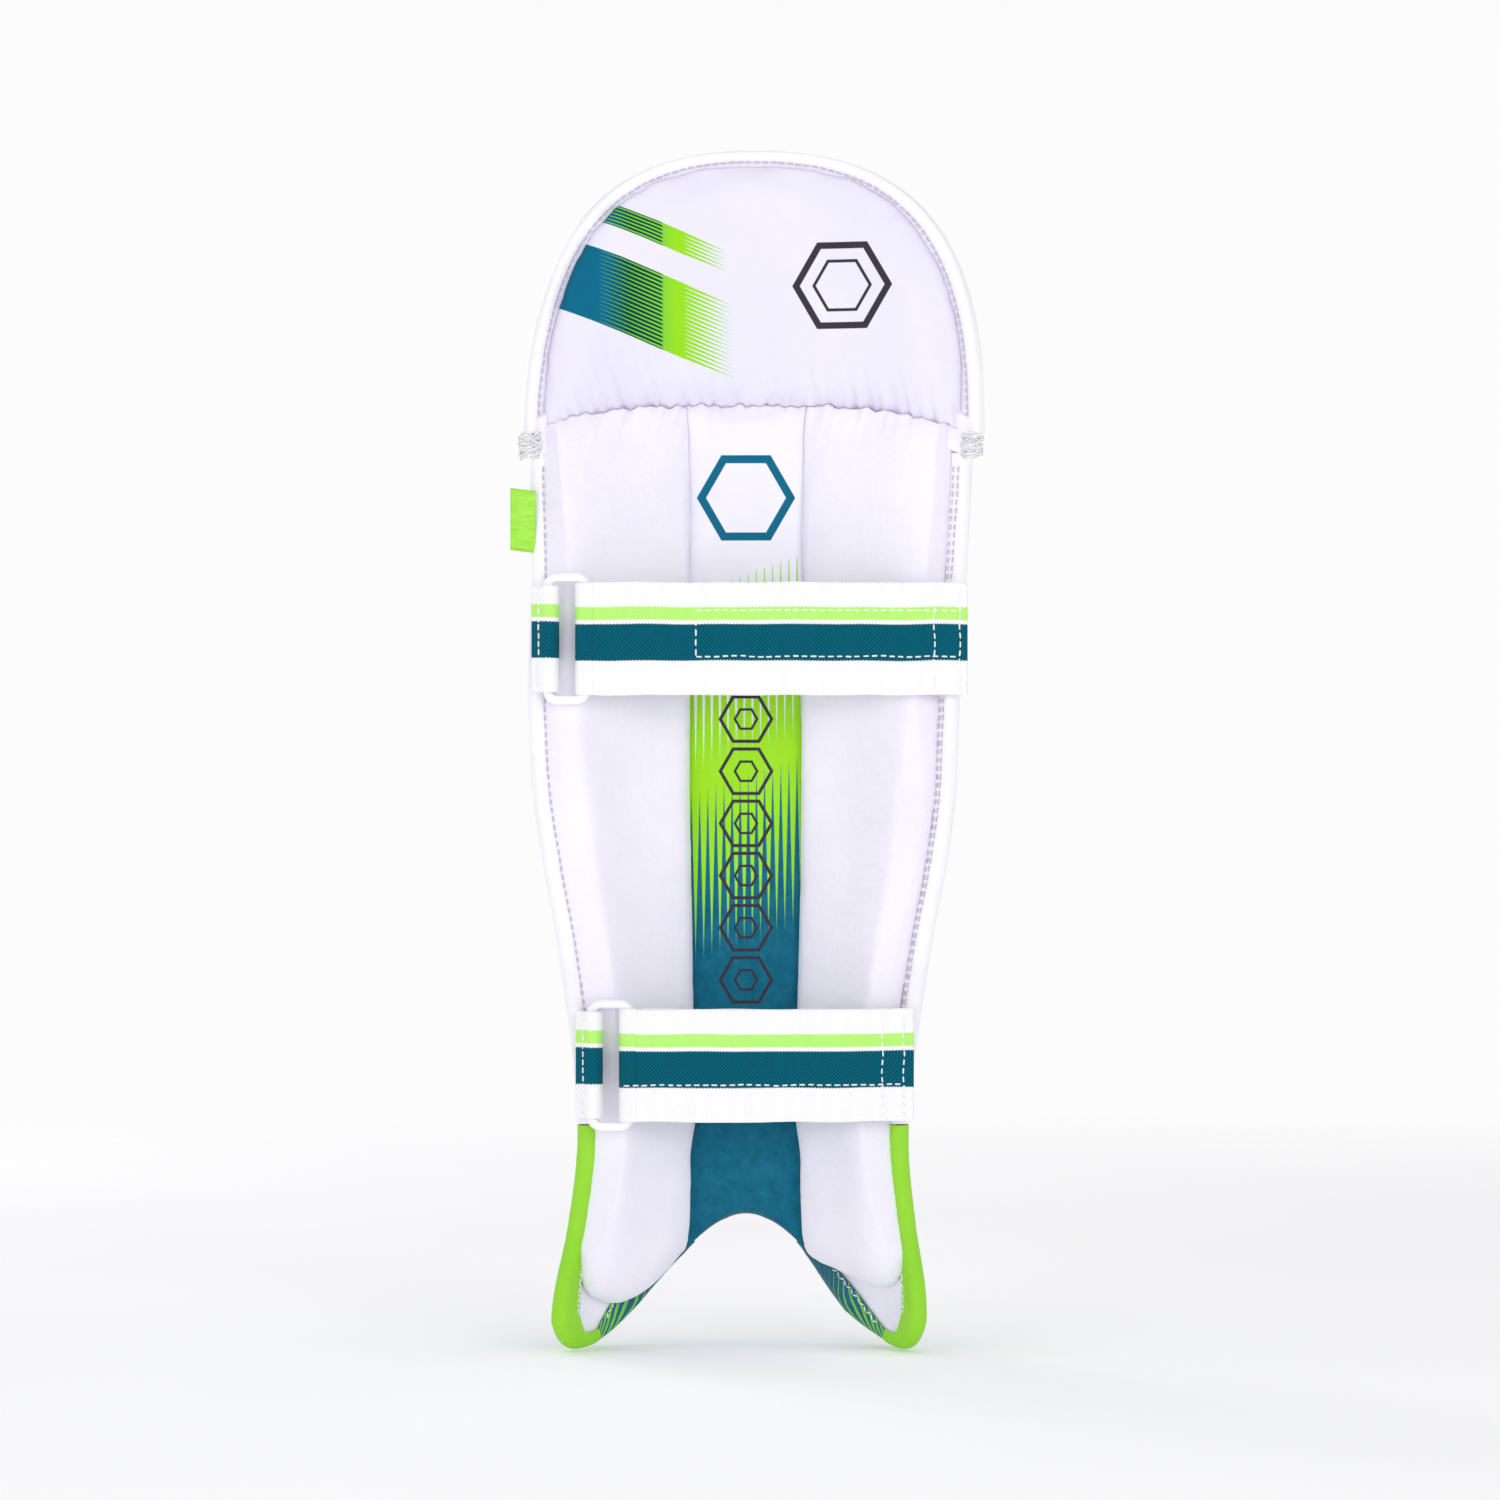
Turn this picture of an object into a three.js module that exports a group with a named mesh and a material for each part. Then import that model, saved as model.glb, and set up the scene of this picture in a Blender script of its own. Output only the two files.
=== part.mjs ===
// A cricket leg pad, worn on the front of one leg and seen here standing upright.
// +Z is up, the padded side that lies on the leg faces -Y, and the struck face is +Y.
// Millimetres. The origin is on the flat back of the centre bolster, midway between the two straps.
//
// The pad is a channel bent round the shin. Every layer is laid out flat, as cloth is cut, in
// pattern coordinates: "along" is the distance round the channel from its centreline and "height"
// is measured up from the tips of the instep wings. wrap() then bends a pattern point into place
// at a given depth, where depth 0 is the lining's leg side and positive depth is towards the face.
import * as THREE from "three";

// Heights up from the tips of the wings.
const HEIGHT = 620;
const FOLD_CROWN = 488;
const FOLD_DROP = 17;
const FOLD_CLEARANCE = 7;
const ARCH_CROWN = 71;
const ARCH_SPAN = 0.88;
const TIP_ROUNDING = 12;
const WING_TOP = 118;
const ORIGIN_HEIGHT = 258;

// Half of the pad's width over its edge bindings, and how far its two edges shift to the right.
const HALF_WIDTH = profile([[0, 97], [30, 95.5], [66, 89], [108, 84.5], [149, 87], [211, 95.5],
  [252, 103], [294, 108.5], [408, 112.5], [450, 114.5], [500, 115]]);
const EDGE_SHIFT = profile([[0, -4], [66, -2], [250, -0.5], [335, -1], [408, 1.5], [500, 3]]);

// How far the edges stand behind the centreline, and how far the instep flares forward.
const CHANNEL_DEPTH = profile([[0, 50], [120, 52], [250, 60], [340, 57], [440, 42], [490, 34]]);
const FLARE = 12;
const FLARE_HEIGHT = 110;

// Layers, from the leg side to the face.
const GAP = 0.4;
const LAYER_GAP = 1;
const LINING = 1.5;
const BOARD = 6;
const BOARD_EDGE = 2.5;
const COVER = 1.8;
const CANE_RADIUS = 3.3;
const CANES = 7;
const RIB_HEIGHT = 2 * CANE_RADIUS + 2 * GAP;
const RIB_SPAN = 0.78;
const EDGE_TAPE = 5;
const EDGE_BUILD = 8;
const END_INSET = 1;
const CENTRE_BOLSTER = 15.6;
const SIDE_BOLSTER = 20;
const CENTRE_HALF_WIDTH = 28.5;
const LINING_Y = CENTRE_BOLSTER + GAP;

// Knee flap: a dome above the fold line.
const FLAP_HALF_WIDTH = 125;
const FLAP_SHIFT = 4;
const FLAP_POWER = 2.27;
const FLAP_BINDING = 7;
const FLAP_CUP = 14;
const FLAP_LEAN = 5;
const FLAP_FOAM = 7;
const FLAP_CUSHION = 16;
const SEAM_INSET = 10;
const KNOT_RADIUS = 4.4;

// Straps, rings and hook-and-loop patches. Each strap is listed by its height and by the place
// of its ring's outer bar, its anchor tab's sewn end and its tail's free end across the pad.
const STRAP_WIDTH = 57;
const WEBBING = 1.8;
const PATCH = 0.8;
const PATCH_HEIGHT = 24;
const STRAP_BULGE = 8;
const RING = { width: 25, height: 67, bar: 5.4, thickness: 5 };
const STRAPS = [
  { name: "calf", height: 366, bar: -100.6, tab: -108.5, sewn: 107, tail: 112.3, patch: [-25, 100] },
  { name: "ankle", height: 149.3, bar: -78.4, tab: -86, sewn: 80, tail: 85, patch: [-20, 74] },
];

// ---------------------------------------------------------------------------------------------
// Curves and solids

// A smooth curve through [position, value] stations, held level past both ends.
function profile(stations) {
  const slope = (i) => {
    const a = stations[Math.max(i - 1, 0)];
    const b = stations[Math.min(i + 1, stations.length - 1)];
    return (b[1] - a[1]) / (b[0] - a[0]);
  };
  return (at) => {
    if (at <= stations[0][0]) return stations[0][1];
    const i = stations.findIndex((s) => s[0] >= at) - 1;
    if (i < 0) return stations[stations.length - 1][1];
    const [x0, y0] = stations[i];
    const [x1, y1] = stations[i + 1];
    const span = x1 - x0;
    const s = (at - x0) / span;
    const rise = y1 - y0;
    const m0 = slope(i) * span;
    const m1 = slope(i + 1) * span;
    return y0 + s * m0 + s * s * (3 * rise - 2 * m0 - m1) + s * s * s * (m0 + m1 - 2 * rise);
  };
}

const lerp = THREE.MathUtils.lerp;

// A closed indexed mesh, turned so that its faces point outwards.
function closedMesh(points, index) {
  let volume = 0;
  for (let i = 0; i < index.length; i += 3) {
    const [a, b, c] = [points[index[i]], points[index[i + 1]], points[index[i + 2]]];
    volume += a.dot(b.clone().cross(c));
  }
  if (volume < 0) index.reverse();
  const geometry = new THREE.BufferGeometry().setFromPoints(points);
  geometry.setIndex(index);
  geometry.computeVertexNormals();
  return geometry;
}

// The body between two sheets of points. outer(u, v) and inner(u, v) take u and v from 0 to 1.
function slab(columns, rows, outer, inner) {
  const points = [];
  for (const sheet of [outer, inner]) {
    for (let j = 0; j <= rows; j++) {
      for (let i = 0; i <= columns; i++) points.push(sheet(i / columns, j / rows));
    }
  }
  const sheetSize = (columns + 1) * (rows + 1);
  const id = (side, i, j) => side * sheetSize + j * (columns + 1) + i;
  const index = [];
  const quad = (a, b, c, d) => index.push(a, b, c, a, c, d);
  for (let j = 0; j < rows; j++) {
    for (let i = 0; i < columns; i++) {
      quad(id(0, i, j), id(0, i + 1, j), id(0, i + 1, j + 1), id(0, i, j + 1));
      quad(id(1, i, j), id(1, i, j + 1), id(1, i + 1, j + 1), id(1, i + 1, j));
    }
    quad(id(0, 0, j), id(0, 0, j + 1), id(1, 0, j + 1), id(1, 0, j));
    quad(id(0, columns, j), id(1, columns, j), id(1, columns, j + 1), id(0, columns, j + 1));
  }
  for (let i = 0; i < columns; i++) {
    quad(id(0, i, 0), id(1, i, 0), id(1, i + 1, 0), id(0, i + 1, 0));
    quad(id(0, i, rows), id(0, i + 1, rows), id(1, i + 1, rows), id(1, i, rows));
  }
  return closedMesh(points, index);
}

// A rod of the given radius along a list of centre points, with flat ends.
function rod(centres, radius, sides) {
  const points = [];
  const index = [];
  for (const centre of centres) {
    for (let i = 0; i < sides; i++) {
      const turn = (i / sides) * 2 * Math.PI;
      points.push(centre.clone().add(
        new THREE.Vector3(radius * Math.cos(turn), radius * Math.sin(turn), 0)));
    }
  }
  for (let j = 0; j + 1 < centres.length; j++) {
    for (let i = 0; i < sides; i++) {
      const next = (i + 1) % sides;
      const [a, b] = [j * sides + i, j * sides + next];
      index.push(a, b, b + sides, a, b + sides, a + sides);
    }
  }
  const last = (centres.length - 1) * sides;
  for (let i = 1; i + 1 < sides; i++) {
    index.push(0, i + 1, i, last, last + i, last + i + 1);
  }
  return closedMesh(points, index);
}

// A band of webbing standing on edge: a path in plan, thickened and raised from low to high.
function webbing(path, thickness, low, high) {
  const side = (u, offset) => {
    const i = Math.round(u * (path.length - 1));
    const before = path[Math.max(i - 1, 0)];
    const after = path[Math.min(i + 1, path.length - 1)];
    const run = after.clone().sub(before).normalize();
    return path[i].clone().add(new THREE.Vector2(-run.y, run.x).multiplyScalar(offset));
  };
  const sheet = (offset) => (u, v) => {
    const p = side(u, offset);
    return new THREE.Vector3(p.x, p.y, lerp(low, high, v));
  };
  return slab(path.length - 1, 1, sheet(thickness / 2), sheet(-thickness / 2));
}

// ---------------------------------------------------------------------------------------------
// The channel

// The lining's radius and its half-length round the channel at a height.
function channel(height) {
  const depth = CHANNEL_DEPTH(height);
  const halfChord = HALF_WIDTH(height) - EDGE_BUILD;
  const radius = (halfChord * halfChord + depth * depth) / (2 * depth);
  const halfLength = radius * 2 * Math.atan(depth / halfChord);
  return { radius, halfLength };
}

// The lining's centreline: straight up the shin, flared forward over the instep.
function spine(height) {
  const below = Math.max(0, FLARE_HEIGHT - height) / FLARE_HEIGHT;
  return LINING_Y + FLARE * below * below;
}

// Bends a pattern point into place.
function wrap(along, height, depth) {
  const { radius, halfLength } = channel(height);
  const turn = along / radius;
  const edge = along / halfLength;
  return new THREE.Vector3(
    (radius + depth) * Math.sin(turn) + EDGE_SHIFT(height) * edge * edge,
    spine(height) - radius + (radius + depth) * Math.cos(turn),
    height - ORIGIN_HEIGHT,
  );
}

// The fold line and the instep arch, by the share u of the way from the centreline to the edge.
const foldLine = (u) => FOLD_CROWN - FOLD_DROP * Math.abs(u) ** 3;
const shinTop = (u) => foldLine(u) - FOLD_CLEARANCE;

function shinLow(u) {
  const across = Math.abs(u);
  const arch = (1 + Math.cos(Math.PI * Math.min(1, across / ARCH_SPAN))) / 2;
  const tip = Math.max(0, across - ARCH_SPAN) / (1 - ARCH_SPAN);
  return lerp(EDGE_TAPE, ARCH_CROWN, arch) + TIP_ROUNDING * tip * tip;
}

// A layer of the shin, cut to any part of its outline. low and high give its lower and upper
// edges, and outer and inner its two depths; each of the four is a function of u. shareOf
// spaces the columns between from and to.
function shinLayer(columns, rows, part) {
  const { from = -1, to = 1, low = shinLow, high = shinTop, outer, inner } = part;
  const shareOf = part.shareOf ?? ((s) => lerp(from, to, s));
  const sheet = (depth) => (s, v) => {
    const u = shareOf(s);
    const height = lerp(low(u), high(u), v);
    return wrap(u * channel(height).halfLength, height, depth(u));
  };
  return slab(columns, rows, sheet(outer), sheet(inner));
}

const boardFront = (u) => LINING + LAYER_GAP + lerp(BOARD, BOARD_EDGE, Math.abs(u) ** 4);

// The cover rises over each cane and lies on the board between them.
function ribRise(u) {
  const across = Math.abs(u);
  if (across >= RIB_SPAN) return 0;
  const phase = ((u / RIB_SPAN + 1) / 2) * CANES;
  return RIB_HEIGHT * Math.sqrt(Math.abs(Math.sin(Math.PI * phase)));
}
const coverInner = (u) => boardFront(u) + LAYER_GAP + ribRise(u);
const coverOuter = (u) => coverInner(u) + COVER;

// ---------------------------------------------------------------------------------------------
// The parts list

const pad = new THREE.Group();

const finish = (color, roughness, metalness = 0) =>
  new THREE.MeshStandardMaterial({ color, roughness, metalness });
const WHITE = () => finish(0xefedf6, 0.6);
const WHITE_WEB = () => finish(0xf7f6fa, 0.7);
const WHITE_PLASTIC = () => finish(0xf4f4f6, 0.35);
const TEAL = () => finish(0x1a5f78, 0.6);
const LIME = () => finish(0x93da26, 0.6);
const FOAM = () => finish(0xd9d6cc, 0.9);
const CANE = () => finish(0xc9a66b, 0.7);

function add(name, geometry, material, parent = pad) {
  const mesh = new THREE.Mesh(geometry, material);
  mesh.name = name;
  parent.add(mesh);
  return mesh;
}

// ---------------------------------------------------------------------------------------------
// Shin: lining, board, canes and ribbed cover

function buildShell() {
  add("rear_lining", shinLayer(24, 14, { outer: () => LINING, inner: () => 0 }), WHITE());

  // The stiff board stops above the arch, and softer foam fills each wing.
  const boardLow = () => ARCH_CROWN + 7;
  const wingTop = () => ARCH_CROWN + 6;
  const backing = { outer: boardFront, inner: () => LINING + LAYER_GAP };
  add("foam_board", shinLayer(24, 12, { low: boardLow, ...backing }), FOAM());
  for (const [side, from, to] of [["left", -0.98, -0.02], ["right", 0.02, 0.98]]) {
    const wing = { from, to, high: wingTop, ...backing };
    add("wing_foam_" + side, shinLayer(12, 4, wing), FOAM());
  }

  // Columns fall on every rib's crest and on every valley.
  const ribColumns = 4 * CANES;
  const sideColumns = 4;
  const total = ribColumns + 2 * sideColumns;
  const shareOf = (s) => {
    const column = s * total - sideColumns;
    if (column < 0) return lerp(-RIB_SPAN, -1, -column / sideColumns);
    if (column > ribColumns) return lerp(RIB_SPAN, 1, (column - ribColumns) / sideColumns);
    return lerp(-RIB_SPAN, RIB_SPAN, column / ribColumns);
  };
  const cover = shinLayer(total, 14, { shareOf, outer: coverOuter, inner: coverInner });
  add("face_cover", cover, WHITE());

  const steps = 8;
  for (let i = 0; i < CANES; i++) {
    const u = RIB_SPAN * ((2 * i + 1) / CANES - 1);
    const centres = [];
    for (let j = 0; j <= steps; j++) {
      const height = lerp(ARCH_CROWN + 22, shinTop(u) - 10, j / steps);
      const depth = boardFront(u) + LAYER_GAP + CANE_RADIUS;
      centres.push(wrap(u * channel(height).halfLength, height, depth));
    }
    add("cane_rod_" + (i + 1), rod(centres, CANE_RADIUS, 8), CANE());
  }
}

// ---------------------------------------------------------------------------------------------
// Bolsters: three upright cushions on the leg side

// How full a cushion is across its width, from 0 at an edge to 1 in the middle.
const crown = (s, power) => (1 - Math.abs(2 * s - 1) ** power) ** 0.6;

function buildBolsters() {
  const edgeThickness = 4;
  const endLength = 22;
  const ends = (height, low, high) => {
    const fromEnd = Math.min(height - low, high - height) / endLength;
    return Math.min(1, fromEnd) * (2 - Math.min(1, fromEnd));
  };
  const rows = 16;

  // Rows crowd towards both ends, where the cushion rounds off.
  const rowAt = (v) => v - Math.sin(2 * Math.PI * v) / 11;

  for (const [side, sign] of [["left", -1], ["right", 1]]) {
    // The lower end is round, and stays inside the arch.
    const low = (s) => {
      const roundEnd = 29 + 30 * Math.abs(2 * s - 1) ** 2.2;
      return Math.max(roundEnd, shinLow(0.3 + 0.5 * s) + 3);
    };
    const sheet = (filled) => (s, v) => {
      const bottom = low(s);
      const top = shinTop(s) - END_INSET;
      const height = lerp(bottom, top, rowAt(v));
      const along = lerp(CENTRE_HALF_WIDTH + 2, channel(height).halfLength - 3, s);
      const fill = crown(s, 3) * ends(height, bottom, top);
      const depth = filled ? lerp(edgeThickness, SIDE_BOLSTER, fill) : 0;
      return wrap(sign * along, height, -LAYER_GAP - depth);
    };
    add("bolster_" + side, slab(10, rows, sheet(true), sheet(false)), WHITE());
  }

  // The centre bolster's back is flat, square to the wearer's shin, over all but its rim. Its
  // lower end follows the arch.
  const high = shinTop(0) - END_INSET;
  const rimStep = 5;
  const sheet = (filled) => (s, v) => {
    const along = lerp(-CENTRE_HALF_WIDTH, CENTRE_HALF_WIDTH, s);
    const low = shinLow(along / channel(ARCH_CROWN).halfLength) + 4;
    const height = lerp(low, high, rowAt(v));
    const point = wrap(along, height, -GAP);
    if (!filled) return point;
    const rim = s === 0 || s === 1;
    const end = v === 0 || v === 1;
    point.y = spine(height) - LINING_Y + (rim || end ? rimStep : 0);
    return point;
  };
  add("bolster_centre", slab(6, rows, sheet(true), sheet(false)), TEAL());
}

// ---------------------------------------------------------------------------------------------
// Bindings along the shin's edges

// A tape round an edge of the shell. path(s) gives the edge's pattern point and the direction
// that points off the cloth there; the tape is deepest in the middle of the shell's thickness.
function edgeTape(steps, width, path) {
  const across = 4;
  const rounding = [0.45, 0.9, 1, 0.9, 0.45];
  const sheet = (outer) => (s, v) => {
    const { along, height, out, front } = path(v);
    const reach = outer ? width * rounding[Math.round(s * across)] : LAYER_GAP;
    const depth = lerp(-1, front + 1, s);
    return wrap(along + out.x * reach, height + out.y * reach, depth);
  };
  return slab(across, steps, sheet(true), sheet(false));
}

// The edge from the top corner down the side, round the wing's tip and up the arch. distance
// runs from 0 to 1 down the side and from 1 to 2 along the arch to the centreline.
function outlinePoint(sign, top, distance) {
  const tipLow = shinLow(1);
  const side = distance <= 1;
  const u = side ? 1 : 2 - distance;
  const height = side ? lerp(top, tipLow, distance) : shinLow(u);
  return new THREE.Vector2(sign * u * channel(height).halfLength, height);
}

function outlinePath(sign, top, from, to) {
  return (s) => {
    const distance = lerp(from, to, s);
    const step = 0.012;
    const here = outlinePoint(sign, top, distance);
    const before = outlinePoint(sign, top, distance - step);
    const after = outlinePoint(sign, top, distance + step);
    const run = after.sub(before).normalize();
    const out = new THREE.Vector2(sign * -run.y, sign * run.x);
    const u = distance <= 1 ? 1 : 2 - distance;
    return { along: here.x, height: here.y, out, front: coverOuter(u) };
  };
}

function buildBindings() {
  for (const [side, sign] of [["left", -1], ["right", 1]]) {
    const sideTop = shinTop(1) - 12;
    const sidePath = (s) => {
      const height = lerp(WING_TOP + 1, sideTop, s);
      const out = new THREE.Vector2(sign, 0);
      return { along: sign * channel(height).halfLength, height, out, front: coverOuter(1) };
    };
    add("side_binding_" + side, edgeTape(14, EDGE_TAPE, sidePath), WHITE());
    const wingPath = outlinePath(sign, WING_TOP, 0.01, 1.22);
    add("wing_binding_" + side, edgeTape(22, EDGE_TAPE, wingPath), LIME());
    const facingPath = outlinePath(sign, WING_TOP, 1.235, 1.695);
    add("instep_facing_" + side, edgeTape(10, EDGE_TAPE, facingPath), TEAL());

    // A lump of close stitching ties each corner of the knee flap's binding down.
    const knot = new THREE.SphereGeometry(KNOT_RADIUS, 10, 8);
    const knotHeight = sideTop + KNOT_RADIUS + 1.6;
    const edge = channel(knotHeight).halfLength;
    const place = wrap(sign * (edge + KNOT_RADIUS + 0.8), knotHeight, coverOuter(1) / 2);
    add("corner_bartack_" + side, knot, WHITE()).position.copy(place);
  }
  const hemHalf = 0.275;
  const hemPath = (s) => {
    const u = lerp(-hemHalf, hemHalf, s);
    const height = shinLow(u);
    const out = new THREE.Vector2(0, -1);
    return { along: u * channel(height).halfLength, height, out, front: coverOuter(u) };
  };
  add("arch_hem", edgeTape(12, EDGE_TAPE - 1, hemPath), TEAL());

  // The seam tape that joins flap to shin runs along the middle of the fold.
  const seamSpan = 0.6;
  const seam = (depth) => (s, v) => {
    const u = lerp(-seamSpan, seamSpan, s);
    const height = foldLine(u) + lerp(-2.2, 2.2, v);
    return wrap(u * channel(height).halfLength, height, depth);
  };
  add("fold_seam_tape", slab(12, 1, seam(6), seam(4.6)), WHITE_WEB());
}

// ---------------------------------------------------------------------------------------------
// Knee flap

// The dome's outline at an inset from its finished edge: the height above the fold by the share
// u of the half-width.
function domeTop(u, inset) {
  const rise = HEIGHT - FOLD_CROWN - inset;
  const base = foldLine(u) + 1.5;
  return base + (rise + FOLD_CROWN - base) * (1 - Math.abs(u) ** FLAP_POWER) ** (1 / FLAP_POWER);
}

// Bends a point of the flap into place. Towards its top the dome also cups towards the knee and
// leans a little to the right.
function wrapFlap(along, height, depth) {
  const { radius } = channel(FOLD_CROWN);
  const turn = along / radius;
  const climb = Math.max(0, height - foldLine(0)) / (HEIGHT - FOLD_CROWN);
  return new THREE.Vector3(
    (radius + depth) * Math.sin(turn) + FLAP_SHIFT * Math.min(1, (along / FLAP_HALF_WIDTH) ** 2)
      + FLAP_LEAN * climb,
    LINING_Y - radius + (radius + depth) * Math.cos(turn) - FLAP_CUP * climb * climb,
    height - ORIGIN_HEIGHT,
  );
}

// A layer of the flap at an inset from the dome's edge. Its sides stand nearly upright where the
// dome meets the fold.
function flapLayer(columns, rows, inset, outer, inner) {
  const sideShare = 0.985;
  const low = (u) => foldLine(u) + FOLD_CLEARANCE;
  const sheet = (depth) => (s, v) => {
    const u = sideShare * Math.sin((s - 0.5) * Math.PI);
    const height = lerp(low(u), domeTop(u, inset), v);
    return wrapFlap(u * (FLAP_HALF_WIDTH - inset), height, depth(s, v));
  };
  return slab(columns, rows, sheet(outer), sheet(inner));
}

function buildFlap() {
  const inset = FLAP_BINDING + GAP;
  const foamBack = LINING + GAP;
  const foamFront = foamBack + FLAP_FOAM;
  const flat = (depth) => () => depth;
  add("flap_lining", flapLayer(16, 6, inset, flat(LINING), flat(0)), WHITE());
  add("flap_foam", flapLayer(16, 6, inset, flat(foamFront), flat(foamBack)), FOAM());
  const coverBack = foamFront + GAP;
  add("flap_cover", flapLayer(16, 6, inset, flat(coverBack + COVER), flat(coverBack)), WHITE());
  const cushionBack = (s, v) => {
    const fill = crown(s, 4) * crown(v, 4);
    return -GAP - lerp(3, FLAP_CUSHION, fill);
  };
  const cushion = flapLayer(16, 10, SEAM_INSET, flat(-GAP), cushionBack);
  add("flap_cushion", cushion, WHITE());

  // The binding runs from corner to corner over the dome and wraps all the layers' edges.
  const steps = 36;
  const across = 4;
  const rounding = [0.5, 0.1, 0, 0.1, 0.5];
  const front = coverBack + COVER;
  const outerInset = (s) => FLAP_BINDING * rounding[Math.round(s * across)];
  const edge = (insetAt) => (s, v) => {
    const turn = Math.PI * v;
    const inset = insetAt(s);
    const u = Math.sign(Math.cos(turn)) * Math.abs(Math.cos(turn)) ** (2 / FLAP_POWER);
    const rise = Math.sin(turn) ** (2 / FLAP_POWER);
    const base = foldLine(u) + FOLD_CLEARANCE;
    const height = base + (HEIGHT - inset - base) * rise;
    return wrapFlap(u * (FLAP_HALF_WIDTH - inset), height, lerp(-1, front + 1, s));
  };
  const innerInset = () => FLAP_BINDING;
  add("flap_binding", slab(across, steps, edge(outerInset), edge(innerInset)), WHITE());
}

// ---------------------------------------------------------------------------------------------
// Straps

// The rearmost point of the side binding, which a strap rests on.
function rearOfEdge(height) {
  const { halfLength } = channel(height);
  return wrap(halfLength + EDGE_TAPE, height, -1).y;
}

function arc(centre, radius, from, to, steps) {
  const points = [];
  for (let i = 0; i <= steps; i++) {
    const turn = THREE.MathUtils.degToRad(lerp(from, to, i / steps));
    points.push(new THREE.Vector2(
      centre.x + radius * Math.cos(turn), centre.y + radius * Math.sin(turn)));
  }
  return points;
}

// A closed ring of round-cornered plastic, standing in the XZ plane with its outer bar at x = 0.
function ringGeometry() {
  const outline = (shape, x0, x1, halfHeight, corner) => {
    shape.moveTo(x0 + corner, -halfHeight);
    shape.lineTo(x1 - corner, -halfHeight);
    shape.quadraticCurveTo(x1, -halfHeight, x1, -halfHeight + corner);
    shape.lineTo(x1, halfHeight - corner);
    shape.quadraticCurveTo(x1, halfHeight, x1 - corner, halfHeight);
    shape.lineTo(x0 + corner, halfHeight);
    shape.quadraticCurveTo(x0, halfHeight, x0, halfHeight - corner);
    shape.lineTo(x0, -halfHeight + corner);
    shape.quadraticCurveTo(x0, -halfHeight, x0 + corner, -halfHeight);
    return shape;
  };
  const bevel = 1.2;
  const half = RING.bar / 2;
  const left = -half + bevel;
  const right = RING.width - half - bevel;
  const body = outline(new THREE.Shape(), left, right, RING.height / 2 - bevel, 7);
  const hole = outline(new THREE.Path(), half - bevel, RING.width - RING.bar - half + bevel,
    STRAP_WIDTH / 2 + GAP + bevel, 2);
  body.holes.push(hole);
  const geometry = new THREE.ExtrudeGeometry(body, {
    depth: RING.thickness - 2 * bevel,
    bevelThickness: bevel,
    bevelSize: bevel,
    bevelSegments: 1,
    curveSegments: 3,
  });
  geometry.translate(0, 0, -(RING.thickness - 2 * bevel) / 2);
  return geometry.rotateX(Math.PI / 2);
}

function buildStrap(strap) {
  const { name, height, bar, tab, sewn, tail, patch } = strap;
  const low = height - STRAP_WIDTH / 2 - ORIGIN_HEIGHT;
  const high = low + STRAP_WIDTH;
  const heights = [height - STRAP_WIDTH / 2, height, height + STRAP_WIDTH / 2];
  const base = Math.min(...heights.map(rearOfEdge)) - GAP;
  const wall = RING.bar / 2 + 3 * GAP + WEBBING / 2;

  // The sewn layer crosses behind the leg from the right edge to the ring's inner bar.
  const sewnY = (x) => base - WEBBING / 2 - STRAP_BULGE * (1 - (x / sewn) ** 2);
  const barX = bar + RING.width - RING.bar;
  const leftBar = new THREE.Vector2(bar, base - WEBBING - wall + 1.5);
  const rightBar = new THREE.Vector2(barX, sewnY(barX) - wall);
  const across = (from, to, lift, steps) => {
    const path = [];
    for (let i = 0; i <= steps; i++) {
      const x = lerp(from, to, i / steps);
      path.push(new THREE.Vector2(x, sewnY(x) - lift(x)));
    }
    return path;
  };
  const sewnPath = across(barX + 5, sewn, () => 0, 20);
  add(name + "_strap_base", webbing(sewnPath, WEBBING, low, high), WHITE_WEB());

  // The anchor tab is folded round the outer bar and both its ends are sewn to the pad's edge.
  const tabTurn = [
    new THREE.Vector2(tab, base - WEBBING / 2),
    ...arc(leftBar, wall, 100, -100, 8),
    new THREE.Vector2(tab, base - WEBBING * 1.5 - GAP),
  ];
  add(name + "_anchor_tab", webbing(tabTurn, WEBBING, low + 1.5, high - 1.5), WHITE_WEB());

  // The ring hangs in the tab, slanted to lead into the strap.
  const slant = rightBar.clone().sub(leftBar).angle();
  const ring = add(name + "_ring", ringGeometry(), WHITE_PLASTIC());
  ring.position.set(leftBar.x, leftBar.y, height - ORIGIN_HEIGHT);
  ring.rotation.z = slant;

  // The strap turns back on itself round the inner bar, then its tail lies over the sewn layer.
  const turnPath = [
    new THREE.Vector2(barX + 3.4, rightBar.y + wall),
    ...arc(rightBar, wall, 90, 270, 8),
    new THREE.Vector2(barX + 3.4, rightBar.y - wall),
  ];
  add(name + "_strap_turn", webbing(turnPath, WEBBING, low, high), WHITE_WEB());

  const stack = WEBBING + 2 * PATCH + 3 * GAP;
  const tailLift = (x) => {
    const settle = THREE.MathUtils.smoothstep(x, barX, barX + 45);
    return lerp(2 * wall, stack, settle);
  };
  const tailPath = across(barX + 4, tail, tailLift, 22);
  add(name + "_strap_tail", webbing(tailPath, WEBBING, low, high), WHITE_WEB());

  const patchLift = (layer) => () => WEBBING / 2 + GAP + PATCH / 2 + layer * (PATCH + GAP);
  const middle = height - ORIGIN_HEIGHT;
  for (const [layer, kind] of [[0, "loop"], [1, "hook"]]) {
    const path = across(patch[0], patch[1], patchLift(layer), 10);
    const geometry = webbing(path, PATCH, middle - PATCH_HEIGHT / 2, middle + PATCH_HEIGHT / 2);
    add(name + "_" + kind + "_patch", geometry, WHITE_WEB());
  }
}

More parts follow.
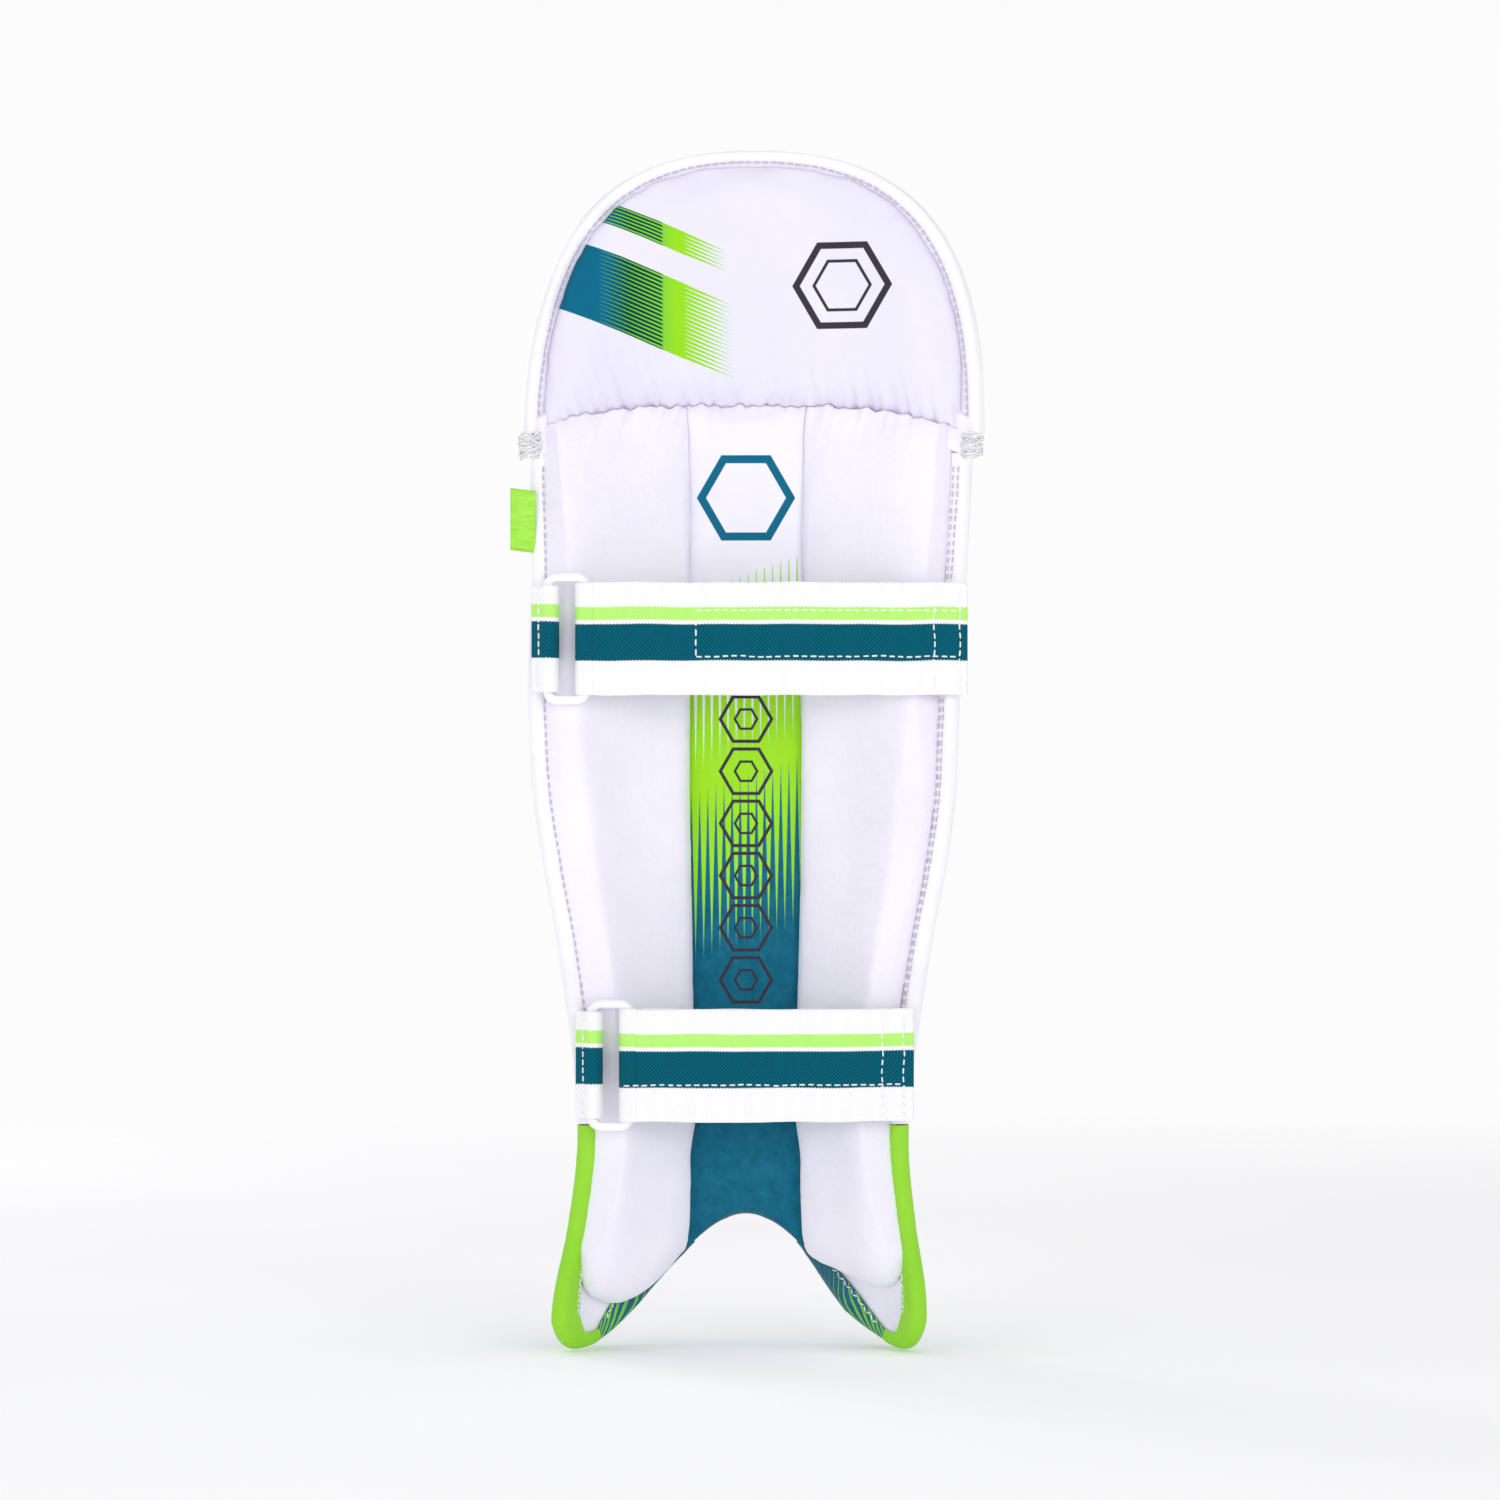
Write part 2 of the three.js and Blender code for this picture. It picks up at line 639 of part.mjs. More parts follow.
// A folded ribbon stands out of the left edge, and a blank care label hangs beside it.
function buildTrim() {
  const tabLow = 412;
  const tabHigh = 444;
  const tabReach = 12;
  const tabThickness = 2.2;
  const root = wrap(-channel(428).halfLength - EDGE_TAPE - 2.5, 428, coverOuter(1) / 2);
  const ribbon = (back) => (s, v) => new THREE.Vector3(
    root.x - tabReach * s,
    root.y - tabThickness / 2 + (back ? 0 : tabThickness),
    lerp(tabLow, tabHigh, v) - ORIGIN_HEIGHT - 2 * s,
  );
  add("side_tab", slab(3, 1, ribbon(true), ribbon(false)), LIME());

  const labelSheet = (depth) => (s, v) => {
    const height = lerp(350, 382, v);
    const along = channel(height).halfLength - lerp(3, 26, s);
    return wrap(-along, height, depth(s));
  };
  const labelOuter = (s) => -26 + 10 * (1 - s);
  const labelInner = (s) => labelOuter(s) + 0.8;
  add("care_label", slab(5, 2, labelSheet(labelOuter), labelSheet(labelInner)), WHITE_WEB());
}

buildShell();
buildBolsters();
buildBindings();
buildFlap();
STRAPS.forEach(buildStrap);
buildTrim();

export default pad;
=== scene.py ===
"""The looks of a cricket leg pad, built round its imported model.

Shapes are worked out in millimetres, in the pad's own frame (+Z up, leg side towards -Y, struck
face towards +Y), and turned into metres when each mesh is made. Like the model, every layer is
laid out flat in pattern coordinates, distance round the channel and height above the wing tips,
and then bent into place at a depth, where 0 is the lining's leg side.
"""
import math
import random

import bpy
import numpy as np
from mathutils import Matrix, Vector, noise


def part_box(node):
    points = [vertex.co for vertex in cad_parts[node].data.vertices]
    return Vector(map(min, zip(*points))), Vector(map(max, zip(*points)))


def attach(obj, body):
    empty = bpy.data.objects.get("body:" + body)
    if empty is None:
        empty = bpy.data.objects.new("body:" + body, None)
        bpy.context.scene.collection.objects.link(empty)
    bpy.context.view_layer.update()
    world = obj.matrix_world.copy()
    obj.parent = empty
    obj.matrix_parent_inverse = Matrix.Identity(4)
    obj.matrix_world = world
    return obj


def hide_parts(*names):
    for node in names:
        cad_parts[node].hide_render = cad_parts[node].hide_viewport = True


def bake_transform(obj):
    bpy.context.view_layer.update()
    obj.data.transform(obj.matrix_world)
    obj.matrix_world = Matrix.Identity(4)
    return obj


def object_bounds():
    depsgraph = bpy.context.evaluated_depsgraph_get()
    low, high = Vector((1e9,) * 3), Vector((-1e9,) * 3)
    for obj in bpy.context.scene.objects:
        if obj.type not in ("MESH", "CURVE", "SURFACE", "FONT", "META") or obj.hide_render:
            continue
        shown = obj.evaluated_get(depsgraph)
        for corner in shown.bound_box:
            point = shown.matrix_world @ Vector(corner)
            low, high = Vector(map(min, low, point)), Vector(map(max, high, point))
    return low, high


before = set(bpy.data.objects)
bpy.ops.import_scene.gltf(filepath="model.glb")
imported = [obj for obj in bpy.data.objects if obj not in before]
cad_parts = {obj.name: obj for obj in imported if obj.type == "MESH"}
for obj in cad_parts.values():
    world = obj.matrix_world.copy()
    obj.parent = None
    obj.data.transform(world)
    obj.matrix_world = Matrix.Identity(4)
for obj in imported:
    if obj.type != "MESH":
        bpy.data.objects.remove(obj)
cad_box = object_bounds()
rng = random.Random(11)

# --- The pad's measurements, as in the model

HEIGHT, ORIGIN_HEIGHT = 620, 258
FOLD_CROWN, FOLD_DROP, FOLD_CLEARANCE, FOLD_REACH = 488, 17, 7, 116
ARCH_CROWN, ARCH_SPAN, TIP_ROUNDING, WING_TOP = 71, 0.88, 12, 118
LINING, LAYER_GAP, BOARD, BOARD_EDGE, COVER = 1.5, 1, 6, 2.5, 1.8
CANE_RADIUS, CANES, RIB_HEIGHT, RIB_SPAN = 3.3, 7, 7.4, 0.78
EDGE_TAPE, EDGE_BUILD, LINING_Y = 5, 8, 16
TAPE_STAND, REAR_STITCH, FACE_STITCH = 4.4, -1.45, 0.65
SIDE_BOLSTER, CENTRE_HALF_WIDTH = 20, 28.5
FLAP_HALF_WIDTH, FLAP_SHIFT, FLAP_POWER = 125, 4, 2.27
FLAP_BINDING, FLAP_CUP, FLAP_LEAN, FLAP_CUSHION = 7, 14, 5, 16
STRAP_WIDTH, WEBBING, STRAP_BULGE = 57, 1.8, 8
RING_WIDTH, RING_HEIGHT, RING_BAR, RING_DEEP = 25, 67, 5.4, 5
STRAPS = [
    dict(name="calf", height=366, bar=-100.6, tab=-108.5, sewn=107, tail=112.3, rows=(95.7, 108.7),
         patch=(-25.4, 108.0, 99.0, 122.4)),
    dict(name="ankle", height=149.3, bar=-78.4, tab=-86, sewn=80, tail=85, rows=(69.3, 80.2),
         patch=(-62.0, 80.0, -118.4, -97.0)),
]


def profile(stations):
    """A smooth curve through (position, value) stations, held level past both ends."""
    xs = np.array([s[0] for s in stations], float)
    ys = np.array([s[1] for s in stations], float)
    last = len(xs) - 1
    before = [max(i - 1, 0) for i in range(last + 1)]
    after = [min(i + 1, last) for i in range(last + 1)]
    slope = (ys[after] - ys[before]) / (xs[after] - xs[before])

    def at(x):
        x = np.clip(np.asarray(x, float), xs[0], xs[-1])
        i = np.clip(np.searchsorted(xs, x) - 1, 0, last - 1)
        span = xs[i + 1] - xs[i]
        s, rise = (x - xs[i]) / span, ys[i + 1] - ys[i]
        m0, m1 = slope[i] * span, slope[i + 1] * span
        return ys[i] + s * m0 + s * s * (3 * rise - 2 * m0 - m1) + s**3 * (m0 + m1 - 2 * rise)

    return at


HALF_WIDTH = profile([[0, 97], [30, 95.5], [66, 89], [108, 84.5], [149, 87], [211, 95.5], [252, 103],
                      [294, 108.5], [408, 112.5], [450, 114.5], [500, 115]])
EDGE_SHIFT = profile([[0, -4], [66, -2], [250, -0.5], [335, -1], [408, 1.5], [500, 3]])
CHANNEL_DEPTH = profile([[0, 50], [120, 52], [250, 60], [340, 57], [440, 42], [490, 34]])


def lerp(a, b, t):
    return a + (b - a) * t


def smooth(x, a, b):
    t = np.clip((np.asarray(x, float) - a) / (b - a), 0, 1)
    return t * t * (3 - 2 * t)


def channel(height):
    """The lining's radius and its half-length round the channel at a height."""
    depth = CHANNEL_DEPTH(height)
    half_chord = HALF_WIDTH(height) - EDGE_BUILD
    radius = (half_chord**2 + depth**2) / (2 * depth)
    return radius, radius * 2 * np.arctan(depth / half_chord)


def half_length(height):
    return channel(height)[1]


def spine(height):
    return LINING_Y + 12 * (np.maximum(0, 110 - height) / 110) ** 2


def arrays(*values):
    return np.broadcast_arrays(*(np.asarray(a, float) for a in values))


def unit(vectors):
    return vectors / np.maximum(1e-9, np.linalg.norm(vectors, axis=-1, keepdims=True))


def sides_of(run):
    """The vectors square to a plane run, on its left."""
    return np.stack([-run[:, 1], run[:, 0]], -1)


def grid(s, v):
    return np.meshgrid(np.linspace(0, 1, s), np.linspace(0, 1, v))


def circle(steps):
    return np.linspace(0, 2 * np.pi, steps, endpoint=False)


def squared(wave, power):
    """A sine or cosine flattened towards a square wave."""
    return np.sign(wave) * abs(wave) ** power


def wrap(along, height, depth):
    along, height, depth = arrays(along, height, depth)
    radius, reach = channel(height)
    turn, edge = along / radius, along / reach
    return np.stack([(radius + depth) * np.sin(turn) + EDGE_SHIFT(height) * edge**2,
                     spine(height) - radius + (radius + depth) * np.cos(turn),
                     height - ORIGIN_HEIGHT], -1)


def unwrap(points):
    """Pattern coordinates and depth of points in place, the inverse of wrap."""
    height = points[:, 2] + ORIGIN_HEIGHT
    radius, reach = channel(height)
    back = points[:, 1] - (spine(height) - radius)
    along = radius * np.arctan2(points[:, 0], back)
    shifted = points[:, 0] - EDGE_SHIFT(height) * (along / reach) ** 2
    return radius * np.arctan2(shifted, back), height, np.hypot(shifted, back) - radius


def fold_line(u):
    return FOLD_CROWN - FOLD_DROP * np.abs(u) ** 3


def shin_top(u):
    return fold_line(u) - FOLD_CLEARANCE


def shin_low(u):
    across = np.abs(u)
    arch = (1 + np.cos(np.pi * np.minimum(1, across / ARCH_SPAN))) / 2
    tip = np.maximum(0, across - ARCH_SPAN) / (1 - ARCH_SPAN)
    return lerp(EDGE_TAPE, ARCH_CROWN, arch) + TIP_ROUNDING * tip * tip


def board_front(u):
    return LINING + LAYER_GAP + lerp(BOARD, BOARD_EDGE, np.abs(u) ** 4)


def cover_inner(u):
    across = np.abs(u)
    phase = ((np.clip(u, -RIB_SPAN, RIB_SPAN) / RIB_SPAN + 1) / 2) * CANES
    rib = np.where(across < RIB_SPAN, RIB_HEIGHT * np.sqrt(np.abs(np.sin(np.pi * phase))), 0)
    return board_front(u) + LAYER_GAP + rib


def cover_outer(u):
    return cover_inner(u) + COVER


FLAP_FRONT, FLAP_EDGE = 11.1, 6.2


def dome_top(u, inset):
    base = fold_line(u) + 1.5
    rise = HEIGHT - inset - base
    return base + rise * (1 - np.minimum(1, np.abs(u)) ** FLAP_POWER) ** (1 / FLAP_POWER)


FLAP_RADIUS = float(channel(FOLD_CROWN)[0])


def flap_shift(along, height):
    """How far the flap's shape lies to the side and to the rear of a plain round channel."""
    climb = np.maximum(0, height - FOLD_CROWN) / (HEIGHT - FOLD_CROWN)
    aside = FLAP_SHIFT * np.minimum(1, (along / FLAP_HALF_WIDTH) ** 2) + FLAP_LEAN * climb
    return aside, FLAP_CUP * climb**2


def wrap_flap(along, height, depth):
    along, height, depth = arrays(along, height, depth)
    reach, turn = FLAP_RADIUS + depth, along / FLAP_RADIUS
    aside, cup = flap_shift(along, height)
    return np.stack([reach * np.sin(turn) + aside, LINING_Y - FLAP_RADIUS + reach * np.cos(turn) - cup,
                     height - ORIGIN_HEIGHT], -1)


def unwrap_flap(points):
    height = points[:, 2] + ORIGIN_HEIGHT
    back = points[:, 1] - (LINING_Y - FLAP_RADIUS - flap_shift(0, height)[1])
    along = FLAP_RADIUS * np.arctan2(points[:, 0], back)
    shifted = points[:, 0] - flap_shift(along, height)[0]
    return FLAP_RADIUS * np.arctan2(shifted, back), height, np.hypot(shifted, back) - FLAP_RADIUS


def dome_share(u, height):
    """How far out on the dome a point is, from 0 at the middle of the fold to 1 on the outline."""
    base = fold_line(u) + 1.5
    rise = np.clip((height - base) / (HEIGHT - base), 0, 1)
    return (np.minimum(1, np.abs(u)) ** FLAP_POWER + rise**FLAP_POWER) ** (1 / FLAP_POWER)


# --- Meshes

def ripple(x, seed, *lengths):
    """A smooth wandering value, about -1 to 1, made of waves of the given lengths."""
    draw = random.Random(seed)
    x = np.asarray(x, float)
    total = np.zeros_like(x)
    for length in lengths:
        for stretch in (0.83, 1.21):
            total = total + np.sin(2 * np.pi * x / (length * stretch) + draw.uniform(0, 6.283))
    return total / (2 * len(lengths)) ** 0.75


def make(name, points, faces, material, uv=None, sharp=55):
    """A closed mesh from points in millimetres, with its faces turned outwards."""
    points = np.asarray(points, float).reshape(-1, 3)
    faces = [tuple(f) for f in faces]
    volume = 0.0
    for f in faces:
        a = points[f[0]]
        for i in range(1, len(f) - 1):
            volume += float(np.dot(a, np.cross(points[f[i]], points[f[i + 1]])))
    if volume < 0:
        faces = [f[::-1] for f in faces]
    mesh = bpy.data.meshes.new(name)
    mesh.from_pydata((points * 0.001).tolist(), [], faces)
    if uv is not None:
        layer = mesh.uv_layers.new(name="UVMap")
        index = np.empty(len(mesh.loops), np.int32)
        mesh.loops.foreach_get("vertex_index", index)
        layer.data.foreach_set("uv", np.asarray(uv, float).reshape(-1, 2)[index].ravel())
    mesh.shade_smooth()
    if sharp:
        mesh.set_sharp_from_angle(angle=math.radians(sharp))
    mesh.validate()
    piece = bpy.data.objects.new(name, mesh)
    bpy.context.scene.collection.objects.link(piece)
    mesh.materials.append(material)
    return piece


def quads(rows, columns, start=0, flip=False, ring=False):
    out = []
    for j in range(rows - 1):
        for i in range(columns if ring else columns - 1):
            k = (i + 1) % columns
            f = (start + j * columns + i, start + j * columns + k,
                 start + (j + 1) * columns + k, start + (j + 1) * columns + i)
            out.append(f[::-1] if flip else f)
    return out


def slab(name, outer, inner, material, uv=None, edge=0.35, sharp=55):
    """The body between two grids of points, with its rim rounded: each sheet stops short of the
    rim by a little, and a row of points between the two stands at the rim itself."""
    rows, columns = outer.shape[:2]
    size = rows * columns
    loop = ([(0, i) for i in range(columns)] + [(j, columns - 1) for j in range(1, rows)]
            + [(rows - 1, i) for i in range(columns - 2, -1, -1)] + [(j, 0) for j in range(rows - 2, 0, -1)])
    middle = (outer + inner) / 2
    rim = np.array([middle[j, i] for j, i in loop])
    if edge:
        centre_in = np.array([middle[min(max(j, 1), rows - 2), min(max(i, 1), columns - 2)] for j, i in loop])
        outward = rim - centre_in
        outward /= np.maximum(1e-6, np.linalg.norm(outward, axis=-1, keepdims=True))
        thick = np.array([np.linalg.norm(outer[j, i] - inner[j, i]) for j, i in loop])[:, None]
        rim = rim + outward * thick * edge
    points = np.concatenate([outer.reshape(-1, 3), inner.reshape(-1, 3), rim])
    faces = quads(rows, columns) + quads(rows, columns, size, True)
    n = len(loop)
    for k in range(n):
        m = (k + 1) % n
        (j0, i0), (j1, i1) = loop[k], loop[m]
        a, b = j0 * columns + i0, j1 * columns + i1
        faces.append((b, a, 2 * size + k, 2 * size + m))
        faces.append((2 * size + m, 2 * size + k, size + a, size + b))
    if uv is not None:
        uv = uv.reshape(-1, 2)
        rim_uv = np.array([uv[j * columns + i] for j, i in loop])
        uv = np.concatenate([uv, uv, rim_uv])
    return make(name, points, faces, material, uv, sharp)


def tube(name, rings, material, uv=None, closed=False):
    """A body through a run of rings of points (N, M, 3), capped at both ends or joined up."""
    n, m = rings.shape[:2]
    points = rings.reshape(-1, 3)
    faces = quads(n, m, ring=True)
    if closed:
        for i in range(m):
            k = (i + 1) % m
            faces.append(((n - 1) * m + i, (n - 1) * m + k, k, i))
    else:
        faces.append(tuple(range(m))[::-1])
        faces.append(tuple(range((n - 1) * m, n * m)))
    return make(name, points, faces, material, uv, 60)


def frames_along(path, up):
    """Unit side and up vectors along a path of points, given rough up vectors."""
    run = unit(np.gradient(path, axis=0))
    side = unit(np.cross(run, np.broadcast_to(np.asarray(up, float), path.shape)))
    return side, np.cross(side, run)


def arc_length(path):
    return np.concatenate([[0], np.cumsum(np.linalg.norm(np.diff(path, axis=0), axis=1))])


def resample(path, at):
    length = arc_length(path)
    return np.stack([np.interp(at, length, path[:, k]) for k in range(path.shape[1])], 1)


def stitches(name, runs, stitch, gap, radius, zigzag=0.0, material=None):
    """Thread dashes along runs of (points, normals) in millimetres: each dash is a thin rounded
    thread that rises out of the cloth, lies on it and dives back in."""
    points, faces, uvs = [], [], []
    sides, stations = 6, (0.0, 0.12, 0.35, 0.65, 0.88, 1.0)
    lifts, sizes = (-1.0, 0.1, 0.55, 0.55, 0.1, -1.0), (0.75, 0.95, 1.0, 1.0, 0.95, 0.75)
    for path, normals in runs:
        length = arc_length(path)
        total = float(length[-1])
        count = max(1, int((total + gap) / (stitch + gap)))
        pitch = total / count
        normals = np.broadcast_to(np.asarray(normals, float), path.shape)
        for k in range(count):
            draw = rng.uniform
            start = k * pitch + draw(-0.15, 0.15)
            at = np.array([start + pitch * stitch / (stitch + gap) * s for s in stations])
            at = np.clip(at, 0, total)
            line = resample(path, at)
            up = unit(np.stack([np.interp(at, length, normals[:, c]) for c in range(3)], 1))
            side, up = frames_along(line + 1e-6 * np.arange(6)[:, None], up)
            slew = zigzag * (1 if k % 2 else -1) * np.linspace(-1, 1, 6)[:, None] + draw(-0.12, 0.12)
            line = line + side * slew
            fat = radius * draw(0.92, 1.1)
            base = len(points)
            for s in range(6):
                for a in range(sides):
                    turn = 2 * math.pi * a / sides
                    offset = side[s] * math.cos(turn) + up[s] * math.sin(turn)
                    points.append(line[s] + up[s] * radius * lifts[s] + offset * fat * sizes[s])
                    uvs.append((at[s], a * 0.4))
            faces += quads(6, sides, base, ring=True)
            faces.append(tuple(base + a for a in range(sides))[::-1])
            faces.append(tuple(base + 5 * sides + a for a in range(sides)))
    return make(name, np.array(points), faces, material or THREAD, np.array(uvs), sharp=0)


# --- Materials

def linear(r, g, b):
    """An sRGB colour given from 0 to 255, as the shader's linear one."""
    def one(c):
        c /= 255
        return c / 12.92 if c <= 0.04045 else ((c + 0.055) / 1.055) ** 2.4
    return one(r), one(g), one(b), 1.0


class Graph:
    """A material and short names for the nodes it is made of."""

    def __init__(self, name, roughness=0.7, sheen=0.0, coat=0.0, specular=0.5, subsurface=0.0):
        self.material = bpy.data.materials.new(name)
        self.material.use_nodes = True
        self.tree = self.material.node_tree
        self.bsdf = self.tree.nodes["Principled BSDF"]
        for key, value in {"Roughness": roughness, "Sheen Weight": sheen, "Sheen Roughness": 0.45,
                           "Coat Weight": coat, "Coat Roughness": 0.3, "Specular IOR Level": specular,
                           "Subsurface Weight": subsurface, "Subsurface Scale": 0.004}.items():
            self.put(self.bsdf, key, value)
        self.uv = self.node("ShaderNodeTexCoord", {}, "UV")
        self.place = self.vector("SCALE", self.node("ShaderNodeTexCoord", {}, "Object"), scale=1000.0)

    def put(self, node, key, value):
        if isinstance(value, bpy.types.NodeSocket):
            self.tree.links.new(value, node.inputs[key])
        else:
            node.inputs[key].default_value = value

    def node(self, kind, inputs, output=0, **settings):
        """A node with its inputs filled or linked, given by one of its outputs."""
        made = self.tree.nodes.new(kind)
        for key, value in settings.items():
            setattr(made, key, value)
        for key, value in inputs.items():
            if value is not None:
                self.put(made, key, value)
        return made.outputs[output]

    def vector(self, operation, a, b=None, scale=None):
        return self.node("ShaderNodeVectorMath", {0: a, 1: b, "Scale": scale}, operation=operation)

    def split(self, vector):
        return self.node("ShaderNodeSeparateXYZ", {0: vector}).node.outputs[:]

    def math(self, operation, a, b=0.0, c=0.0):
        return self.node("ShaderNodeMath", {0: a, 1: b, 2: c}, operation=operation)

    def add(self, a, b):
        return self.math("ADD", a, b)

    def sub(self, a, b):
        return self.math("SUBTRACT", a, b)

    def mul(self, a, b):
        return self.math("MULTIPLY", a, b)

    def ramp(self, x, a, b, low=0.0, high=1.0):
        """Goes from low where x is a to high where x is b, and stays level past both."""
        return self.node("ShaderNodeMapRange", {0: x, 1: a, 2: b, 3: low, 4: high}, clamp=True)

    def inside(self, x, low, high, soft=0.3):
        return self.mul(self.ramp(x, low - soft, low + soft), self.ramp(x, high + soft, high - soft))

    def wave(self, x, length):
        """A sine of x, from 0 to 1."""
        return self.math("MULTIPLY_ADD", self.math("SINE", self.mul(x, 2 * math.pi / length)), 0.5, 0.5)

    def saw(self, x, length, start=0.0):
        """How far x is from the middle of its stripe, from 0 to 1 at the stripe's edge."""
        phase = self.math("FRACT", self.mul(self.sub(x, start), 1 / length))
        return self.mul(self.math("ABSOLUTE", self.sub(phase, 0.5)), 2.0)

    def noise(self, vector, size, detail=3.0, rough=0.55):
        return self.node("ShaderNodeTexNoise", {"Vector": vector, "Scale": 1 / size, "Detail": detail,
                                                "Roughness": rough})

    def grain(self, vector, size, smoothness=0.4):
        return self.node("ShaderNodeTexVoronoi", {"Vector": vector, "Scale": 1 / size,
                                                  "Smoothness": smoothness}, "Distance", feature="SMOOTH_F1")

    def mix(self, share, a, b):
        return self.node("ShaderNodeMix", {0: share, 6: a, 7: b}, 2, data_type="RGBA")

    def tint(self, x, light, dark, a=0.3, b=0.7, share=1.0):
        """Light where x is below a, and as much as share of the way to dark where it is above b."""
        return self.mix(self.ramp(x, a, b, 0.0, share), light, dark)

    def bump(self, height, distance, under=None):
        return self.node("ShaderNodeBump", {"Height": height, "Distance": distance * 0.001, "Strength": 1.0,
                                            "Normal": under})

    def done(self, colour, normal=None, roughness=None):
        for key, value in {"Base Color": colour, "Normal": normal, "Roughness": roughness}.items():
            if value is not None:
                self.put(self.bsdf, key, value)
        return self.material


WHITE = linear(246, 243, 253)
SHADE = linear(235, 231, 248)
TEAL = linear(6, 104, 136)
DEEP = linear(2, 70, 62)
LIME = linear(152, 220, 34)
PALE_LIME = linear(126, 208, 62)
DARK = linear(58, 54, 66)


def cloth_surface(g, at, wrinkle=0.9):
    """Brushed polyester: soft wrinkles, a slight nap and a fine plain weave, in millimetres."""
    a, b, c = g.split(at)
    threads = g.add(g.wave(g.add(a, c), 0.8), g.wave(g.sub(b, c), 0.8))
    slack = g.bump(g.noise(at, 34, 2.0), wrinkle)
    nap = g.bump(g.noise(at, 4.5, 4.0, 0.65), 0.22, under=slack)
    return g.bump(threads, 0.035, under=nap)


def cloth(name, light=WHITE, dark=SHADE, uv=False):
    g = Graph(name, roughness=0.82, sheen=0.25, specular=0.25)
    at = g.uv if uv else g.place
    tone = g.add(g.mul(g.noise(at, 60, 3.0), 0.7), g.mul(g.noise(at, 2.2, 2.0), 0.3))
    return g.done(g.tint(tone, light, dark, 0.35, 0.65, 0.55), cloth_surface(g, at),
                  g.ramp(tone, 0.3, 0.7, 0.74, 0.88))


def hexagon(g, a, b, size, width):
    """The line of a hexagon of that half-height round a point, as 0 or 1."""
    a, b = g.math("ABSOLUTE", a), g.math("ABSOLUTE", b)
    slanted = g.add(g.mul(a, 0.866), g.mul(b, 0.5))
    distance = g.math("MAXIMUM", slanted, b)
    return g.ramp(g.math("ABSOLUTE", g.sub(distance, size)), width / 2 + 0.15, width / 2 - 0.15)


def flap_cloth():
    """White cloth printed with two slanted bands: teal that breaks into dark and lime lines, a
    solid lime patch, then lime lines that run out into the white. A plain hexagon marks the right."""
    g = Graph("flap_print", roughness=0.85, sheen=0.04, specular=0.1)
    x, _, z = g.split(g.place)
    sway = g.mul(g.ramp(x, -64, -96), 1.2)
    across = g.add(g.add(z, g.mul(x, 0.406)), sway)
    tone = g.noise(g.place, 60, 3.0)
    colour = g.tint(tone, linear(235, 232, 246), linear(226, 222, 240), 0.35, 0.65, 0.5)
    for low, high, lines, solid, end in ((240.6, 279.3, 18, -74, -6.5), (293.9, 305.6, 6, -96, -9.0)):
        spacing = (high - low) / lines
        saw = g.saw(across, spacing, low)
        lime_cover = g.ramp(x, -31, end, 0.9, 0.0)
        lime_line = g.ramp(g.sub(lime_cover, saw), -0.12, 0.12)
        lime = g.math("MAXIMUM", lime_line, g.ramp(x, -30.5, -32))
        teal_cover = g.ramp(x, solid, -43, 0.98, 0.5)
        teal_line = g.mul(g.ramp(g.sub(teal_cover, g.sub(1.0, saw)), -0.12, 0.12), g.ramp(x, -42.4, -43.6))
        teal = g.math("MAXIMUM", teal_line, g.ramp(x, solid + 1.5, solid - 1.5))
        ink = g.mix(g.ramp(x, -60, -72), DEEP, TEAL)
        lime_ink = g.mix(g.ramp(x, -36, -44), LIME, PALE_LIME)
        band = g.mul(g.inside(across, low, high, 0.25), g.ramp(x, end + 0.5, end - 0.5))
        lined = g.mix(g.mul(lime, band), colour, lime_ink)
        colour = g.mix(g.mul(teal, band), lined, ink)
    a, b = g.sub(x, 49.5), g.sub(z, 291)
    mark = g.math("MAXIMUM", hexagon(g, a, b, 20.5, 3.4), hexagon(g, a, b, 12.5, 1.6))
    colour = g.mix(mark, colour, DARK)
    return g.done(colour, cloth_surface(g, g.place, 1.0), g.ramp(tone, 0.3, 0.7, 0.72, 0.86))


